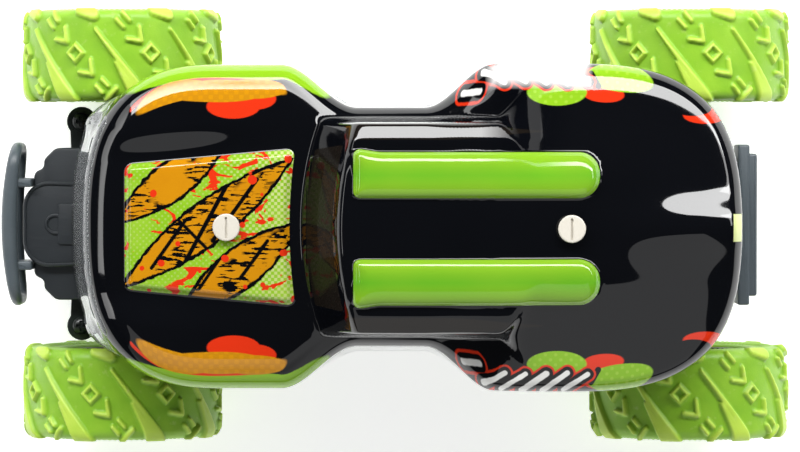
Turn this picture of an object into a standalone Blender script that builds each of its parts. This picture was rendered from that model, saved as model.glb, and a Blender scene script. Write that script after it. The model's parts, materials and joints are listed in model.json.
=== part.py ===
"""Four-wheel stunt car with a lift-off printed body shell, for remote control.

Frame: +X forward, +Y to the car's left, +Z up, origin on the ground under the middle of the car.
Every size below is in millimetres and is turned into metres when a mesh is made.
"""

import math

import bmesh
import bpy
import numpy as np
from mathutils import Vector

MM = 0.001
GAP = 0.3  # left between neighbouring pieces

# Driving dimensions
LENGTH = 239.0
TYRE_RADIUS = 30.5
TYRE_WIDTH = 28.0
WHEELBASE = 173.0
TRACK = 102.0

FRONT_END = LENGTH / 2
AXLE_Z = TYRE_RADIUS
REAR_AXLE_X = -LENGTH / 2 + TYRE_RADIUS
FRONT_AXLE_X = REAR_AXLE_X + WHEELBASE
WHEEL_Y = TRACK / 2
RIM_RADIUS = 18.0

# Front axle: sliding kingpins, knuckles and the steering bar
KINGPIN_Y = 31.0
KINGPIN_RADIUS = 1.25
STEER_ARM = 12.0
STEER_LIMIT = math.radians(18)
TIE_X = FRONT_AXLE_X + STEER_ARM
CARRIER_BOTTOM = 20.0
CARRIER_TOP = 22.5
AXLE_PLATE_BOTTOM = 44.3
AXLE_PLATE_TOP = 46.8
KNUCKLE_BOTTOM = CARRIER_TOP + GAP
KNUCKLE_TOP = 34.5
TIE_BAR_BOTTOM = 36.3
TIE_BAR_TOP = 38.6
TIE_PIN_RADIUS = 1.9
STUB_RADIUS = 2.0
STUB_END = WHEEL_Y + 12.6

# Chassis
TUB_FRONT = 67.7
TUB_REAR = -43.0
TUB_HALF = 25.0
TUB_BOTTOM = 18.0
TUB_TOP = 38.0
WALL = 1.8
BOX_FRONT = 107.0
BOX_REAR = 68.0
BOX_HALF = 23.0
BOX_BOTTOM = 18.5
BOX_TOP = 44.0
BOX_TIP = 113.0
COVER_FRONT = 113.2
COVER_REAR = 89.5
COVER_HALF = 13.0
COVER_CORNER = 8.0
COVER_THICKNESS = 2.0
HOOP_HALF = 23.0
HOOP_BOTTOM = 27.0
HOOP_TOP = 49.0
HOOP_CORNER = 6.0
HOOP_BOW = 2.0
HOOP_RADIUS = 2.4
HOOP_TAPER = 0.7
STAY_Y = 12.5
DECK_TOP = 40.3
DOOR_FRONT = 38.0
DOOR_REAR = -18.0
DOOR_HALF = 17.0
DOOR_SCREW_X = 31.0
SWITCH_X = 50.5
EAR_Y = 16.0
LUG_Y = 10.5
POST_X = 50.0
FRAME_BOTTOM = 54.0
FRAME_TOP = 57.0
FRAME_HALF = 19.0
FRAME_FRONT = -37.0
FRAME_REAR = -101.5
TAIL_BLOCK = [(-101.8, 24), (-104.9, 24), (-105.3, 21.4), (-107.6, 21)]
TAIL_BLOCK_BOTTOM = 42.0
TAIL_BLOCK_TOP = 58.0

# Rear gearbox, which swings on a cross pin
SWING_X = -47.5
SWING_Z = 26.0
SWING_PIN_RADIUS = 1.25
GEARBOX_FRONT = -52.2
GEARBOX_REAR = -101.0
GEARBOX_HALF = 20.0
GEARBOX_BOTTOM = 18.0
GEARBOX_TOP = 43.5
GEARBOX_WALL = 1.6
SPRING_X = -80.0
SPRING_Y = 14.0
MODULE = 0.6
MESH_PLAY = 0.15
AXLE_TEETH = 30
IDLER_SMALL_TEETH = 12
IDLER_LARGE_TEETH = 30
PINION_TEETH = 10
IDLER_X = REAR_AXLE_X + MODULE * (AXLE_TEETH + IDLER_SMALL_TEETH) / 2 + MESH_PLAY
MOTOR_X = IDLER_X + MODULE * (IDLER_LARGE_TEETH + PINION_TEETH) / 2 + MESH_PLAY
AXLE_RADIUS = 2.0

# Body shell
SHELL_THICKNESS = 1.2
FENDER_HALF = 47.7
WAIST_DEPTH = 11.7
NOSE_START = 52.0
NOSE_REACH = 41.1
TAIL_START = -50.0
TAIL_REACH = 50.3
NOSE_POWER = 2.6
TAIL_POWER = 2.85
EDGE_RADIUS = 14.0
ARCH_RADIUS = 38.0
NOSE_RIM = 49.0
ROCKER_RIM = 44.0
TAIL_RIM = 58.5
BASE_LINE = [
    (-102, 90.5), (-90, 95), (-75, 99), (-60, 102), (-45, 103.5), (-33, 101), (-22, 95.5), (-10, 90.6),
    (0, 90), (35, 88), (70, 85), (88, 82), (98, 79),
]
CABIN_LINE = [
    (-102, 3), (-90, 4), (-75, 4.5), (-60, 5.6), (-45, 7.3), (-33, 11), (-22, 16.7), (-10, 21.2),
    (0, 21.5), (16, 20.5), (40, 20),
]
WINDSCREEN_BASE = 25.6
WINDSCREEN_TOP = 16.3
SCREEN_BOW = 0.0053
BELT_HALF = 33.4
ROOF_HALF = 29.6
DOME_FRONT = 79.7
DOME_REAR = 31.4
DOME_HEIGHT = 1.8
RIB_FRONT = 12.5
RIB_REAR = -57.6
RIB_Y = 15.4
RIB_HALF = 6.7
RIB_HEIGHT = 3.6
LOCK_RADIUS = 4.0
LOCK_SHANK = 2.0
POST_RADIUS = 4.4


# ---------------------------------------------------------------- materials

def linear(value):
    """One 0 to 255 display channel as a linear value."""
    share = value / 255
    return share / 12.92 if share <= 0.04045 else ((share + 0.055) / 1.055) ** 2.4


def make_material(name, red, green, blue, roughness, metallic=0.0):
    material = bpy.data.materials.new(name)
    material.use_nodes = True
    shader = material.node_tree.nodes["Principled BSDF"]
    shader.inputs["Base Color"].default_value = (linear(red), linear(green), linear(blue), 1)
    shader.inputs["Roughness"].default_value = roughness
    shader.inputs["Metallic"].default_value = metallic
    return material


# ------------------------------------------------------------ shape helpers

def along(axis, a, b, height):
    """A point from two coordinates across an axis and one along it.

    Y takes (x, z) across it, and X takes (y, z)."""
    if axis == "X":
        return Vector((height, a, b))
    if axis == "Y":
        return Vector((a, height, b))
    return Vector((a, b, height))


def new_object(name, mesh_builder, material=None):
    bmesh.ops.recalc_face_normals(mesh_builder, faces=mesh_builder.faces)
    bmesh.ops.scale(mesh_builder, vec=(MM, MM, MM), verts=mesh_builder.verts)
    mesh = bpy.data.meshes.new(name)
    mesh_builder.to_mesh(mesh)
    mesh_builder.free()
    if material:
        mesh.materials.append(material)
    made = bpy.data.objects.new(name, mesh)
    bpy.context.scene.collection.objects.link(made)
    return made


def smooth(piece, degrees=32):
    piece.data.shade_smooth()
    piece.data.set_sharp_from_angle(angle=math.radians(degrees))
    return piece


def prism(name, outline, low, high, axis="Z", material=None):
    """The outline, a list of points across the axis, extruded from low to high along it."""
    builder = bmesh.new()
    base = [builder.verts.new(along(axis, a, b, low)) for a, b in outline]
    face = builder.faces.new(base)
    made = bmesh.ops.extrude_face_region(builder, geom=[face])
    moved = [v for v in made["geom"] if isinstance(v, bmesh.types.BMVert)]
    bmesh.ops.translate(builder, verts=moved, vec=along(axis, 0, 0, high - low))
    return new_object(name, builder, material)


def ring(name, outer, inner, low, high, axis="Z", material=None):
    """A prism with a hole: outer and inner are outlines with as many points as each other."""
    builder = bmesh.new()
    loops = [
        [builder.verts.new(along(axis, a, b, height)) for a, b in outline]
        for outline, height in ((outer, low), (outer, high), (inner, high), (inner, low))
    ]
    count = len(outer)
    for first, second in zip(loops, loops[1:] + loops[:1]):
        for i in range(count):
            j = (i + 1) % count
            builder.faces.new((first[i], first[j], second[j], second[i]))
    return new_object(name, builder, material)


def circle(radius, a=0.0, b=0.0, segments=20, turn=0.0):
    step = 2 * math.pi / segments
    return [
        (a + radius * math.cos(turn + step * i), b + radius * math.sin(turn + step * i))
        for i in range(segments)
    ]


def slot(length, radius, a, b, segments=16):
    """An outline with round ends, long along the first coordinate."""
    half = length / 2 - radius
    points = []
    for i in range(segments):
        angle = 2 * math.pi * (i + 0.5) / segments
        shift = half if math.cos(angle) > 0 else -half
        points.append((a + shift + radius * math.cos(angle), b + radius * math.sin(angle)))
    return points


def rectangle(a0, a1, b0, b1):
    return [(a0, b0), (a1, b0), (a1, b1), (a0, b1)]


def cylinder(name, radius, a, b, low, high, axis="Z", material=None, segments=20):
    return prism(name, circle(radius, a, b, segments), low, high, axis, material)


def tube(name, outer, inner, a, b, low, high, axis="Z", material=None, segments=20):
    return ring(
        name, circle(outer, a, b, segments), circle(inner, a, b, segments), low, high, axis, material
    )


def block(name, x0, x1, y0, y1, z0, z1, material=None):
    return prism(name, rectangle(x0, x1, y0, y1), z0, z1, "Z", material)


def turned(name, profile, segments, material=None):
    """A ring turned about the Y axis from a closed profile of (radius, y) points."""
    builder = bmesh.new()
    loops = []
    for i in range(segments):
        angle = 2 * math.pi * (i + 0.5) / segments
        loops.append(
            [
                builder.verts.new((radius * math.cos(angle), y, radius * math.sin(angle)))
                for radius, y in profile
            ]
        )
    count = len(profile)
    for first, second in zip(loops, loops[1:] + loops[:1]):
        for i in range(count):
            j = (i + 1) % count
            builder.faces.new((first[i], first[j], second[j], second[i]))
    return new_object(name, builder, material)


def sweep(name, points, radii, sides, material=None, closed=False):
    """A round bar through the points. Radii are one number for each point."""
    builder = bmesh.new()
    points = [Vector(p) for p in points]
    count = len(points)
    loops = []
    normal = None
    for i, point in enumerate(points):
        before = points[i - 1] if (i or closed) else point
        after = points[(i + 1) % count] if (i < count - 1 or closed) else point
        tangent = (after - before).normalized()
        if normal is None:
            normal = tangent.orthogonal().normalized()
        normal = (normal - tangent * normal.dot(tangent)).normalized()
        side = tangent.cross(normal)
        loops.append(
            [
                builder.verts.new(
                    point
                    + radii[i] * (math.cos(turn) * normal + math.sin(turn) * side)
                )
                for turn in (2 * math.pi * k / sides for k in range(sides))
            ]
        )
    pairs = list(zip(loops, loops[1:]))
    if closed:
        # The section has turned by the time it comes back, so the seam joins nearest points.
        first, last = loops[0], loops[-1]
        offset = min(range(sides), key=lambda k: (last[0].co - first[k].co).length)
        pairs.append((last, first[offset:] + first[:offset]))
    else:
        builder.faces.new(loops[0])
        builder.faces.new(loops[-1])
    for first, second in pairs:
        for i in range(sides):
            j = (i + 1) % sides
            builder.faces.new((first[i], first[j], second[j], second[i]))
    return new_object(name, builder, material)


def helper(piece):
    """Hides a piece that only cuts or adds to another."""
    piece.hide_render = True
    piece.display_type = "WIRE"


def boolean(target, others, operation):
    for other in others:
        modifier = target.modifiers.new(operation.lower() + "_" + other.name, "BOOLEAN")
        modifier.operation = operation
        modifier.object = other
        helper(other)
    return target


def cut(target, *cutters):
    return boolean(target, cutters, "DIFFERENCE")


def join(target, *added):
    return boolean(target, added, "UNION")


def pivot(name, x, y, z, parent=None):
    """An empty on a joint's axis, which carries the pieces that move with it."""
    empty = bpy.data.objects.new(name, None)
    empty.empty_display_size = 5 * MM
    empty.location = Vector((x, y, z)) * MM
    bpy.context.scene.collection.objects.link(empty)
    if parent:
        carry(parent, empty)
    return empty


def carry(empty, *pieces):
    """Parents pieces to a pivot and leaves them where they are."""
    bpy.context.view_layer.update()
    for piece in pieces:
        piece.parent = empty
        piece.matrix_parent_inverse = empty.matrix_world.inverted()


# --------------------------------------------------------------- body shell

def curve_through(points, x):
    """A smooth curve through (x, value) points, read at x."""
    xs = np.array([p[0] for p in points], float)
    ys = np.array([p[1] for p in points], float)
    slopes = np.gradient(ys, xs)
    i = np.clip(np.searchsorted(xs, x) - 1, 0, len(xs) - 2)
    width = xs[i + 1] - xs[i]
    t = np.clip((x - xs[i]) / width, 0, 1)
    return (
        (2 * t**3 - 3 * t**2 + 1) * ys[i]
        + (t**3 - 2 * t**2 + t) * width * slopes[i]
        + (3 * t**2 - 2 * t**3) * ys[i + 1]
        + (t**3 - t**2) * width * slopes[i + 1]
    )


def smoothstep(low, high, x):
    t = np.clip((x - low) / (high - low), 0, 1)
    return t * t * (3 - 2 * t)


def soft_clamp(t, softness):
    """0 below 0, 1 above 1 and straight between, with rounded corners."""
    return (np.sqrt(t**2 + softness**2) - np.sqrt((t - 1) ** 2 + softness**2) + 1) / 2


def waist(x):
    """1 along the doors, 0 at the fenders."""
    return smoothstep(34, 12, x) * smoothstep(-28, -8, x)


def half_width(x):
    nose = np.clip((x - NOSE_START) / NOSE_REACH, 0, 1)
    tail = np.clip((TAIL_START - x) / TAIL_REACH, 0, 1)
    full = FENDER_HALF * (1 - nose**NOSE_POWER) ** (1 / NOSE_POWER)
    full = full * (1 - tail**TAIL_POWER) ** (1 / TAIL_POWER)
    return full - WAIST_DEPTH * waist(x)


def rounded_end(y, power):
    """1 at y = 0, falling to 0 at the fenders' outer face."""
    return (1 - (np.abs(y) / FENDER_HALF) ** power) ** (1 / power)


def nose_x(y):
    return NOSE_START + NOSE_REACH * rounded_end(y, NOSE_POWER)


def tail_x(y):
    return TAIL_START - TAIL_REACH * rounded_end(y, TAIL_POWER)


def edge_distance(x, y):
    """Plan distance from points to the shell's outline."""
    turn = np.linspace(0, math.pi, 181)
    along_x = (nose_x(0) + tail_x(0)) / 2 + (nose_x(0) - tail_x(0)) / 2 * np.cos(turn)
    outline = np.stack([along_x, half_width(along_x)], 1)
    start, end = outline[:-1], outline[1:]
    step = end - start
    points = np.stack([np.ravel(x), np.abs(np.ravel(y))], 1)[:, None, :]
    share = ((points - start) * step).sum(2) / np.maximum((step**2).sum(1), 1e-12)
    nearest = start + np.clip(share, 0, 1)[..., None] * step
    return np.sqrt(((points - nearest) ** 2).sum(2)).min(1).reshape(np.shape(x))


def rounded_box(x, y, x0, x1, half, corner):
    """Signed distance to a rounded rectangle centred on y = 0, negative inside."""
    a = np.abs(x - (x0 + x1) / 2) - (x1 - x0) / 2 + corner
    b = np.abs(y) - half + corner
    outside = np.hypot(np.maximum(a, 0), np.maximum(b, 0))
    return outside + np.minimum(np.maximum(a, b), 0) - corner


def shell_height(x, y):
    """Height of the shell's outer skin, inside its outline."""
    side = np.abs(y)
    height = curve_through(BASE_LINE, x) - 2.5 * (y / FENDER_HALF) ** 2
    screen_x = x + SCREEN_BOW * y**2
    ramp = soft_clamp((WINDSCREEN_BASE - screen_x) / (WINDSCREEN_BASE - WINDSCREEN_TOP), 0.08)
    tail_share = smoothstep(-22, -42, x)
    belt = BELT_HALF + 13 * tail_share
    roof = ROOF_HALF - 13 * tail_share
    flank = soft_clamp((belt - side) / (belt - roof), 0.12)
    cabin = curve_through(CABIN_LINE, x) - 1.2 * (y / ROOF_HALF) ** 2
    height = height + cabin * ramp * flank
    dome_half = 18.3 + 4.4 * np.clip((DOME_FRONT - x) / (DOME_FRONT - DOME_REAR), 0, 1)
    dome = rounded_box(x + SCREEN_BOW * y**2 * 0.6, y, DOME_REAR, DOME_FRONT, dome_half, 3)
    height = height + DOME_HEIGHT * soft_clamp(-dome / 1.8, 0.2)
    rib = rounded_box(x, side - RIB_Y, RIB_REAR, RIB_FRONT, RIB_HALF, 3)
    height = height + RIB_HEIGHT * soft_clamp(-rib / 2.2, 0.2)
    inset = np.clip(edge_distance(x, y), 0, EDGE_RADIUS)
    return height - (EDGE_RADIUS - np.sqrt(EDGE_RADIUS**2 - (EDGE_RADIUS - inset) ** 2))


def rim_height(x, y):
    """Height of the shell's lower edge: high arches over the wheels, low between them."""
    base = np.where(x > FRONT_AXLE_X, NOSE_RIM, np.where(x < REAR_AXLE_X, TAIL_RIM, ROCKER_RIM))
    rim = base.astype(float)
    for axle_x, inner, outer in ((FRONT_AXLE_X, 24, 31), (REAR_AXLE_X, 29, 35)):
        reach = np.clip(ARCH_RADIUS**2 - (x - axle_x) ** 2, 0, None)
        arch = AXLE_Z + np.sqrt(reach)
        arch = np.where(reach > 0, np.maximum(arch, base), base)
        share = smoothstep(inner, outer, np.abs(y))
        rim = np.maximum(rim, base + (arch - base) * share)
    return rim


def flare(x):
    """How far the lower edge stands outside the outline above it."""
    return 0.3 + 4.9 * smoothstep(80, 90, x) + 2.2 * waist(x) + 1.3 * smoothstep(-86, -96, x)


def shell_skin(lines_along, lines_across, wall_rows):
    """Points and faces of the shell's outer skin.

    A grid covers the plan, bent so that its four sides lie on the outline, and rows of
    faces hang from its border down to the lower edge."""
    corner_y = 37.0
    front_corner, rear_corner = float(nose_x(corner_y)), float(tail_x(corner_y))
    u, v = np.meshgrid(lines_along, lines_across, indexing="ij")
    x = tail_x(v * corner_y) * (1 - u) + nose_x(v * corner_y) * u
    y = v * half_width(rear_corner + (front_corner - rear_corner) * u)
    z = shell_height(x, y)
    rows, columns = x.shape
    index = np.arange(rows * columns).reshape(rows, columns)
    border = np.concatenate([index[:, 0], index[-1, 1:], index[-2::-1, -1], index[0, -2:0:-1]])
    points = np.stack([x, y, z], -1).reshape(-1, 3)
    rim_z = rim_height(points[border, 0], points[border, 1])
    points[border, 2] = np.maximum(points[border, 2], rim_z + 1.0)
    faces = [
        (index[i, j], index[i + 1, j], index[i + 1, j + 1], index[i, j + 1])
        for i in range(rows - 1)
        for j in range(columns - 1)
    ]
    top = points[border]
    tangent = np.roll(top[:, :2], -1, 0) - np.roll(top[:, :2], 1, 0)
    outward = np.stack([-tangent[:, 1], tangent[:, 0]], 1)
    outward /= np.linalg.norm(outward, axis=1)[:, None]
    outward *= np.sign((outward * top[:, :2]).sum(1))[:, None]
    upper = border
    for row in range(1, wall_rows + 1):
        share = row / wall_rows
        wall = top.copy()
        wall[:, :2] += outward * (flare(top[:, 0]) * share)[:, None]
        wall[:, 2] += (rim_z - top[:, 2]) * share
        lower = np.arange(len(border)) + len(points)
        points = np.concatenate([points, wall])
        following = np.roll(np.arange(len(border)), -1)
        faces += [
            (upper[i], upper[j], lower[j], lower[i]) for i, j in enumerate(following)
        ]
        upper = lower
    return points, faces


def make_body_shell(material):
    """The thin formed shell, with a hole for each lock."""
    lines_along = np.array(
        [0, 0.03, 0.07, 0.12, 0.18, 0.215, 0.23, 0.29, 0.36, 0.43, 0.5, 0.56, 0.573, 0.59, 0.615, 0.64]
        + [0.655, 0.68, 0.73, 0.78, 0.84, 0.89, 0.91, 0.94, 0.97, 1.0]
    )
    half = np.array([0.17, 0.24, 0.43, 0.5, 0.58, 0.7, 0.82, 0.92, 1.0])
    lines_across = np.concatenate([-half[::-1], [0], half])
    points, faces = shell_skin(lines_along, lines_across, 2)
    builder = bmesh.new()
    verts = [builder.verts.new(p) for p in points]
    for face in faces:
        builder.faces.new([verts[i] for i in face])
    shell = new_object("body_shell", builder, material)
    if sum(face.normal.z * face.area for face in shell.data.polygons) < 0:
        shell.data.flip_normals()  # thickness is added below the skin, so it must face up
    thickness = shell.modifiers.new("thickness", "SOLIDIFY")
    thickness.thickness = SHELL_THICKNESS * MM
    thickness.offset = -1
    for x in (POST_X, -POST_X):
        cut(shell, cylinder("shell_hole", LOCK_SHANK + 0.5, x, 0, 60, 130, segments=14))
    return smooth(shell, 40)


def skin_z(x, reach=0.0, pick=max):
    """The highest (or, with pick=min, lowest) point of the skin within reach of (x, 0)."""
    spots = circle(reach, x, 0, 12)
    heights = shell_height(np.array([a for a, _ in spots]), np.array([b for _, b in spots]))
    return float(pick(heights))


def make_lock(name, x, material):
    """Quarter-turn lock: a slotted round head on the shell and a shank down into the post."""
    top = skin_z(x, LOCK_RADIUS) + GAP + 0.2
    lock = prism(name, circle(LOCK_RADIUS, x, 0, 24), top, top + 1.5, "Z", material)
    bevel = lock.modifiers.new("rounding", "BEVEL")
    bevel.width = 0.35 * MM
    bevel.segments = 2
    bevel.limit_method = "ANGLE"
    join(lock, cylinder(name + "_shank", LOCK_SHANK, x, 0, top - 8, top + 0.5, segments=14))
    cut(lock, block(name + "_slot", x - 0.35, x + 0.35, -3, 3, top + 0.9, top + 3))
    return smooth(lock)


def make_body_post(name, x, foot, material):
    """Hollow post that takes a lock's shank."""
    top = skin_z(x, POST_RADIUS, min) - SHELL_THICKNESS - 0.8
    post = tube(name, POST_RADIUS, LOCK_SHANK + 0.4, x, 0, foot, top, "Z", material, 16)
    join(post, tube(name + "_flange", 7.5, LOCK_SHANK + 0.4, x, 0, foot, foot + 2, segments=16))
    return smooth(post)


# ------------------------------------------------------------------- wheels

def make_wheel(prefix, x, side, meshes):
    """Tyre, rim and nut on one side. The three meshes are shared by all wheels."""
    placed = []
    for part, mesh in meshes.items():
        piece = bpy.data.objects.new(f"{prefix}_{part}", mesh)
        bpy.context.scene.collection.objects.link(piece)
        piece.location = Vector((x, side * WHEEL_Y, AXLE_Z)) * MM
        piece.rotation_euler = (0, 0, 0 if side > 0 else math.pi)
        placed.append(piece)
    return placed


def wheel_meshes(materials):
    """One wheel's meshes, about the origin with its outer side towards +Y."""
    half = TYRE_WIDTH / 2
    flat = 1 / math.cos(math.pi / 32)  # so that the faces, not the corners, touch the full radius
    side_profile = [(18.3, 12.5), (20.5, half), (26.5, half), (29.8, 11.5), (TYRE_RADIUS, 5)]
    profile = [(r, -y) for r, y in side_profile] + side_profile[::-1]
    tyre = turned("tyre_mesh", [(r * flat, y) for r, y in profile], 32, materials["tyre"])
    smooth(tyre, 40)
    rim_profile = [
        (2.3, -5), (5.2, -5), (5.2, 2), (16.3, 2), (16.3, -12.3), (RIM_RADIUS, -12.3),
        (RIM_RADIUS, 12.3), (16.3, 12.3), (16.3, 4.6), (5.2, 4.6), (5.2, 9), (2.3, 9),
    ]
    rim = turned("rim_mesh", rim_profile, 20, materials["rim"])
    for i in range(5):
        angle = 2 * math.pi * (i + 0.25) / 5
        a, b = 10.8 * math.cos(angle), 10.8 * math.sin(angle)
        cut(rim, cylinder(f"rim_window_{i}", 3.6, a, b, 0, 8, "Y", segments=8))
    smooth(rim)
    hexagon = []
    for i in range(12):
        reach = 3.6 if i % 2 else 3.6 / math.cos(math.pi / 6)
        angle = math.pi * i / 6
        hexagon.append((reach * math.cos(angle), reach * math.sin(angle)))
    nut = ring("nut_mesh", hexagon, circle(2.3, segments=12), 9.3, 11.8, "Y", materials["steel"])
    made = {}
    for part, piece in (("tyre", tyre), ("rim", rim), ("nut", nut)):
        graph = bpy.context.evaluated_depsgraph_get()
        made[part] = bpy.data.meshes.new_from_object(piece.evaluated_get(graph))
        made[part].name = part
        piece.modifiers.clear()
        helper(piece)
    return made


# --------------------------------------------------------------- front axle

def make_knuckle(side, materials):
    """Barrel on the kingpin with the stub axle outboard and the steering arm forward."""
    name = "left" if side > 0 else "right"
    y = side * KINGPIN_Y
    barrel = tube(
        name + "_knuckle", 3.4, KINGPIN_RADIUS + 0.35, FRONT_AXLE_X, y, KNUCKLE_BOTTOM, KNUCKLE_TOP,
        "Z", materials["black"], 16,
    )
    reach = sorted((side * (KINGPIN_Y + 2.4), side * STUB_END))
    stub = cylinder("stub", STUB_RADIUS, FRONT_AXLE_X, AXLE_Z, *reach, "Y", segments=12)
    arm = block("arm", FRONT_AXLE_X + 2.4, TIE_X, y - 2.5, y + 2.5, 29, 31.3)
    boss = cylinder("arm_end", 3.2, TIE_X, y, 29, 31.3, segments=16)
    pin = cylinder("arm_pin", TIE_PIN_RADIUS, TIE_X, y, 30, TIE_BAR_TOP + 0.4, segments=14)
    join(barrel, stub, arm, boss, pin)
    head = [(0, 0), (2.5, 0), (2.5, 0.8), (1.7, 1.4), (0, 1.6)]
    screw = make_screw(name + "_tie_screw", head, TIE_X, y, TIE_BAR_TOP + 0.7, materials["steel"])
    return smooth(barrel), screw


def make_screw(name, profile, x, y, z, material, up=1):
    """A screw head turned about Z from (radius, height) points, the first and last on the axis."""
    builder = bmesh.new()
    segments = 14
    loops = []
    for radius, height in profile:
        if radius == 0:
            loops.append([builder.verts.new((x, y, z + up * height))])
            continue
        loops.append(
            [builder.verts.new((a, b, z + up * height)) for a, b in circle(radius, x, y, segments)]
        )
    for first, second in zip(loops, loops[1:]):
        for i in range(segments):
            j = (i + 1) % segments
            if len(first) == 1:
                builder.faces.new((first[0], second[i], second[j]))
            elif len(second) == 1:
                builder.faces.new((first[i], first[j], second[0]))
            else:
                builder.faces.new((first[i], first[j], second[j], second[i]))
    return smooth(new_object(name, builder, material))


def make_kingpin(side, materials):
    name = "left" if side > 0 else "right"
    y = side * KINGPIN_Y
    pin = cylinder(
        name + "_kingpin", KINGPIN_RADIUS, FRONT_AXLE_X, y, 17.5, AXLE_PLATE_TOP + 1.7,
        "Z", materials["steel"], 12,
    )
    low, high = KNUCKLE_TOP + GAP, KNUCKLE_TOP + 1.3
    join(pin, cylinder("collar", 3.1, FRONT_AXLE_X, y, low, high, segments=14))
    return smooth(pin)


def spring_points(x, y, low, high, radius, turns, per_turn=8):
    count = int(turns * per_turn) + 1
    return [
        (
            x + radius * math.cos(2 * math.pi * i / per_turn),
            y + radius * math.sin(2 * math.pi * i / per_turn),
            low + (high - low) * i / (count - 1),
        )
        for i in range(count)
    ]


def make_spring(name, x, y, low, high, radius, wire, turns, material):
    points = spring_points(x, y, low + wire, high - wire, radius, turns)
    return smooth(sweep(name, points, [wire] * len(points), 4, material), 100)


def make_tie_bar(material):
    """Flat bar over both steering arms, with a long hole for each arm's pin and the lever's."""
    low, high = TIE_BAR_BOTTOM, TIE_BAR_TOP
    bar = block("tie_bar", TIE_X - 3.2, TIE_X + 3.2, -KINGPIN_Y, KINGPIN_Y, low, high, material)
    for y in (-KINGPIN_Y, KINGPIN_Y):
        join(bar, cylinder("bar_end", 4.5, TIE_X, y, low, high, segments=20))
    for y in (-KINGPIN_Y, 0, KINGPIN_Y):
        hole = slot(5.1, TIE_PIN_RADIUS + 0.35, TIE_X - 0.3, y)
        cut(bar, prism("bar_hole", hole, low - 1, high + 1))
    return smooth(bar)


def make_steering(materials):
    """Steering motor box with its output shaft, and the lever that moves the bar."""
    servo = block("steering_servo", 72, 91, -8, 8, 20.3, 31.3, materials["black"])
    join(servo, cylinder("servo_shaft", 1.5, FRONT_AXLE_X, 0, 31, 35.4, segments=12))
    join(servo, cylinder("servo_boss", 4.5, FRONT_AXLE_X, 0, 30, 31.8, segments=16))
    lever = block("steering_lever", FRONT_AXLE_X, TIE_X, -2.4, 2.4, 32.4, 34.8, materials["black"])
    join(
        lever,
        cylinder("lever_hub", 3.8, FRONT_AXLE_X, 0, 32.2, 35.4, segments=16),
        cylinder("lever_end", 2.8, TIE_X, 0, 32.4, 34.8, segments=14),
        cylinder("lever_pin", TIE_PIN_RADIUS, TIE_X, 0, 33, TIE_BAR_TOP + 0.6, segments=14),
    )
    cut(lever, cylinder("lever_bore", 1.85, FRONT_AXLE_X, 0, 30, 38, segments=12))
    return smooth(servo), smooth(lever)


def make_front_bulkhead(material):
    """Box around the steering gear, with the lower kingpin carriers on its sides."""
    right_side = [
        (BOX_REAR, -BOX_HALF), (BOX_FRONT - 3.5, -BOX_HALF), (BOX_FRONT, -19.5), (BOX_FRONT, -17),
        (BOX_FRONT + 3, -15.5), (BOX_FRONT + 3, -9), (BOX_TIP, -6),
    ]
    chamfered = right_side + [(x, -y) for x, y in right_side[::-1]]
    box = prism("front_bulkhead", chamfered, BOX_BOTTOM, BOX_TOP, "Z", material)
    cut(box, block("box_hollow", 70, 104.5, -21, 21, CARRIER_BOTTOM, BOX_TOP - 2))
    cut(box, block("deck_opening", 72, 102, -10, 10, BOX_TOP - 4, 60))
    cut(box, block("bar_window", TIE_X - 5.2, TIE_X + 5.2, -30, 30, 35.0, 39.6))
    for y in (-KINGPIN_Y, KINGPIN_Y):
        inner = math.copysign(BOX_HALF - 1, y)
        low, high = sorted((inner, y))
        carry_low, carry_high = CARRIER_BOTTOM, CARRIER_TOP
        x = FRONT_AXLE_X
        join(box, block("carrier", x - 4, x + 4, low, high, carry_low, carry_high))
        join(box, cylinder("carrier_end", 4, x, y, carry_low, carry_high, segments=16))
        cut(box, cylinder("carrier_hole", KINGPIN_RADIUS + 0.35, x, y, 10, 30, segments=12))
    return smooth(box)


def make_axle_plate(material):
    """Cross plate that guides the tops of both kingpins."""
    x, bottom, top = FRONT_AXLE_X, AXLE_PLATE_BOTTOM, AXLE_PLATE_TOP
    plate = block("front_axle_plate", x - 5, x + 5, -BOX_HALF, BOX_HALF, bottom, top, material)
    for y in (-KINGPIN_Y, KINGPIN_Y):
        low, high = sorted((math.copysign(BOX_HALF - 2, y), y))
        join(plate, block("upper_carrier", x - 4, x + 4, low, high, bottom, top))
        join(plate, cylinder("upper_carrier_end", 4, x, y, bottom, top, segments=16))
        cut(plate, cylinder("upper_hole", KINGPIN_RADIUS + 0.35, x, y, 40, 60, segments=12))
    return smooth(plate)


def cover_outline(inset):
    """Plan of the steering cover: straight sides, round front corners."""
    radius = COVER_CORNER - inset
    centre_x, centre_y = COVER_FRONT - COVER_CORNER, COVER_HALF - COVER_CORNER
    points = [(COVER_REAR + inset, COVER_HALF - inset)]
    for i in range(7):
        angle = math.pi / 2 * (1 - i / 6)
        points.append((centre_x + radius * math.cos(angle), centre_y + radius * math.sin(angle)))
    return points + [(a, -b) for a, b in points[::-1]]


def make_steering_cover(material):
    """Lid on the steering box, with a raised edge and a raised pad."""
    low = BOX_TOP + GAP
    lid = prism("steering_cover", cover_outline(0), low, low + COVER_THICKNESS, "Z", material)
    join(lid, ring("cover_edge", cover_outline(0.2), cover_outline(1.1), low + 1, low + 2.6))
    join(lid, block("cover_pad", 92, 103, -6.2, 6.2, low + 1, low + 2.7))
    return smooth(lid)


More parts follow.
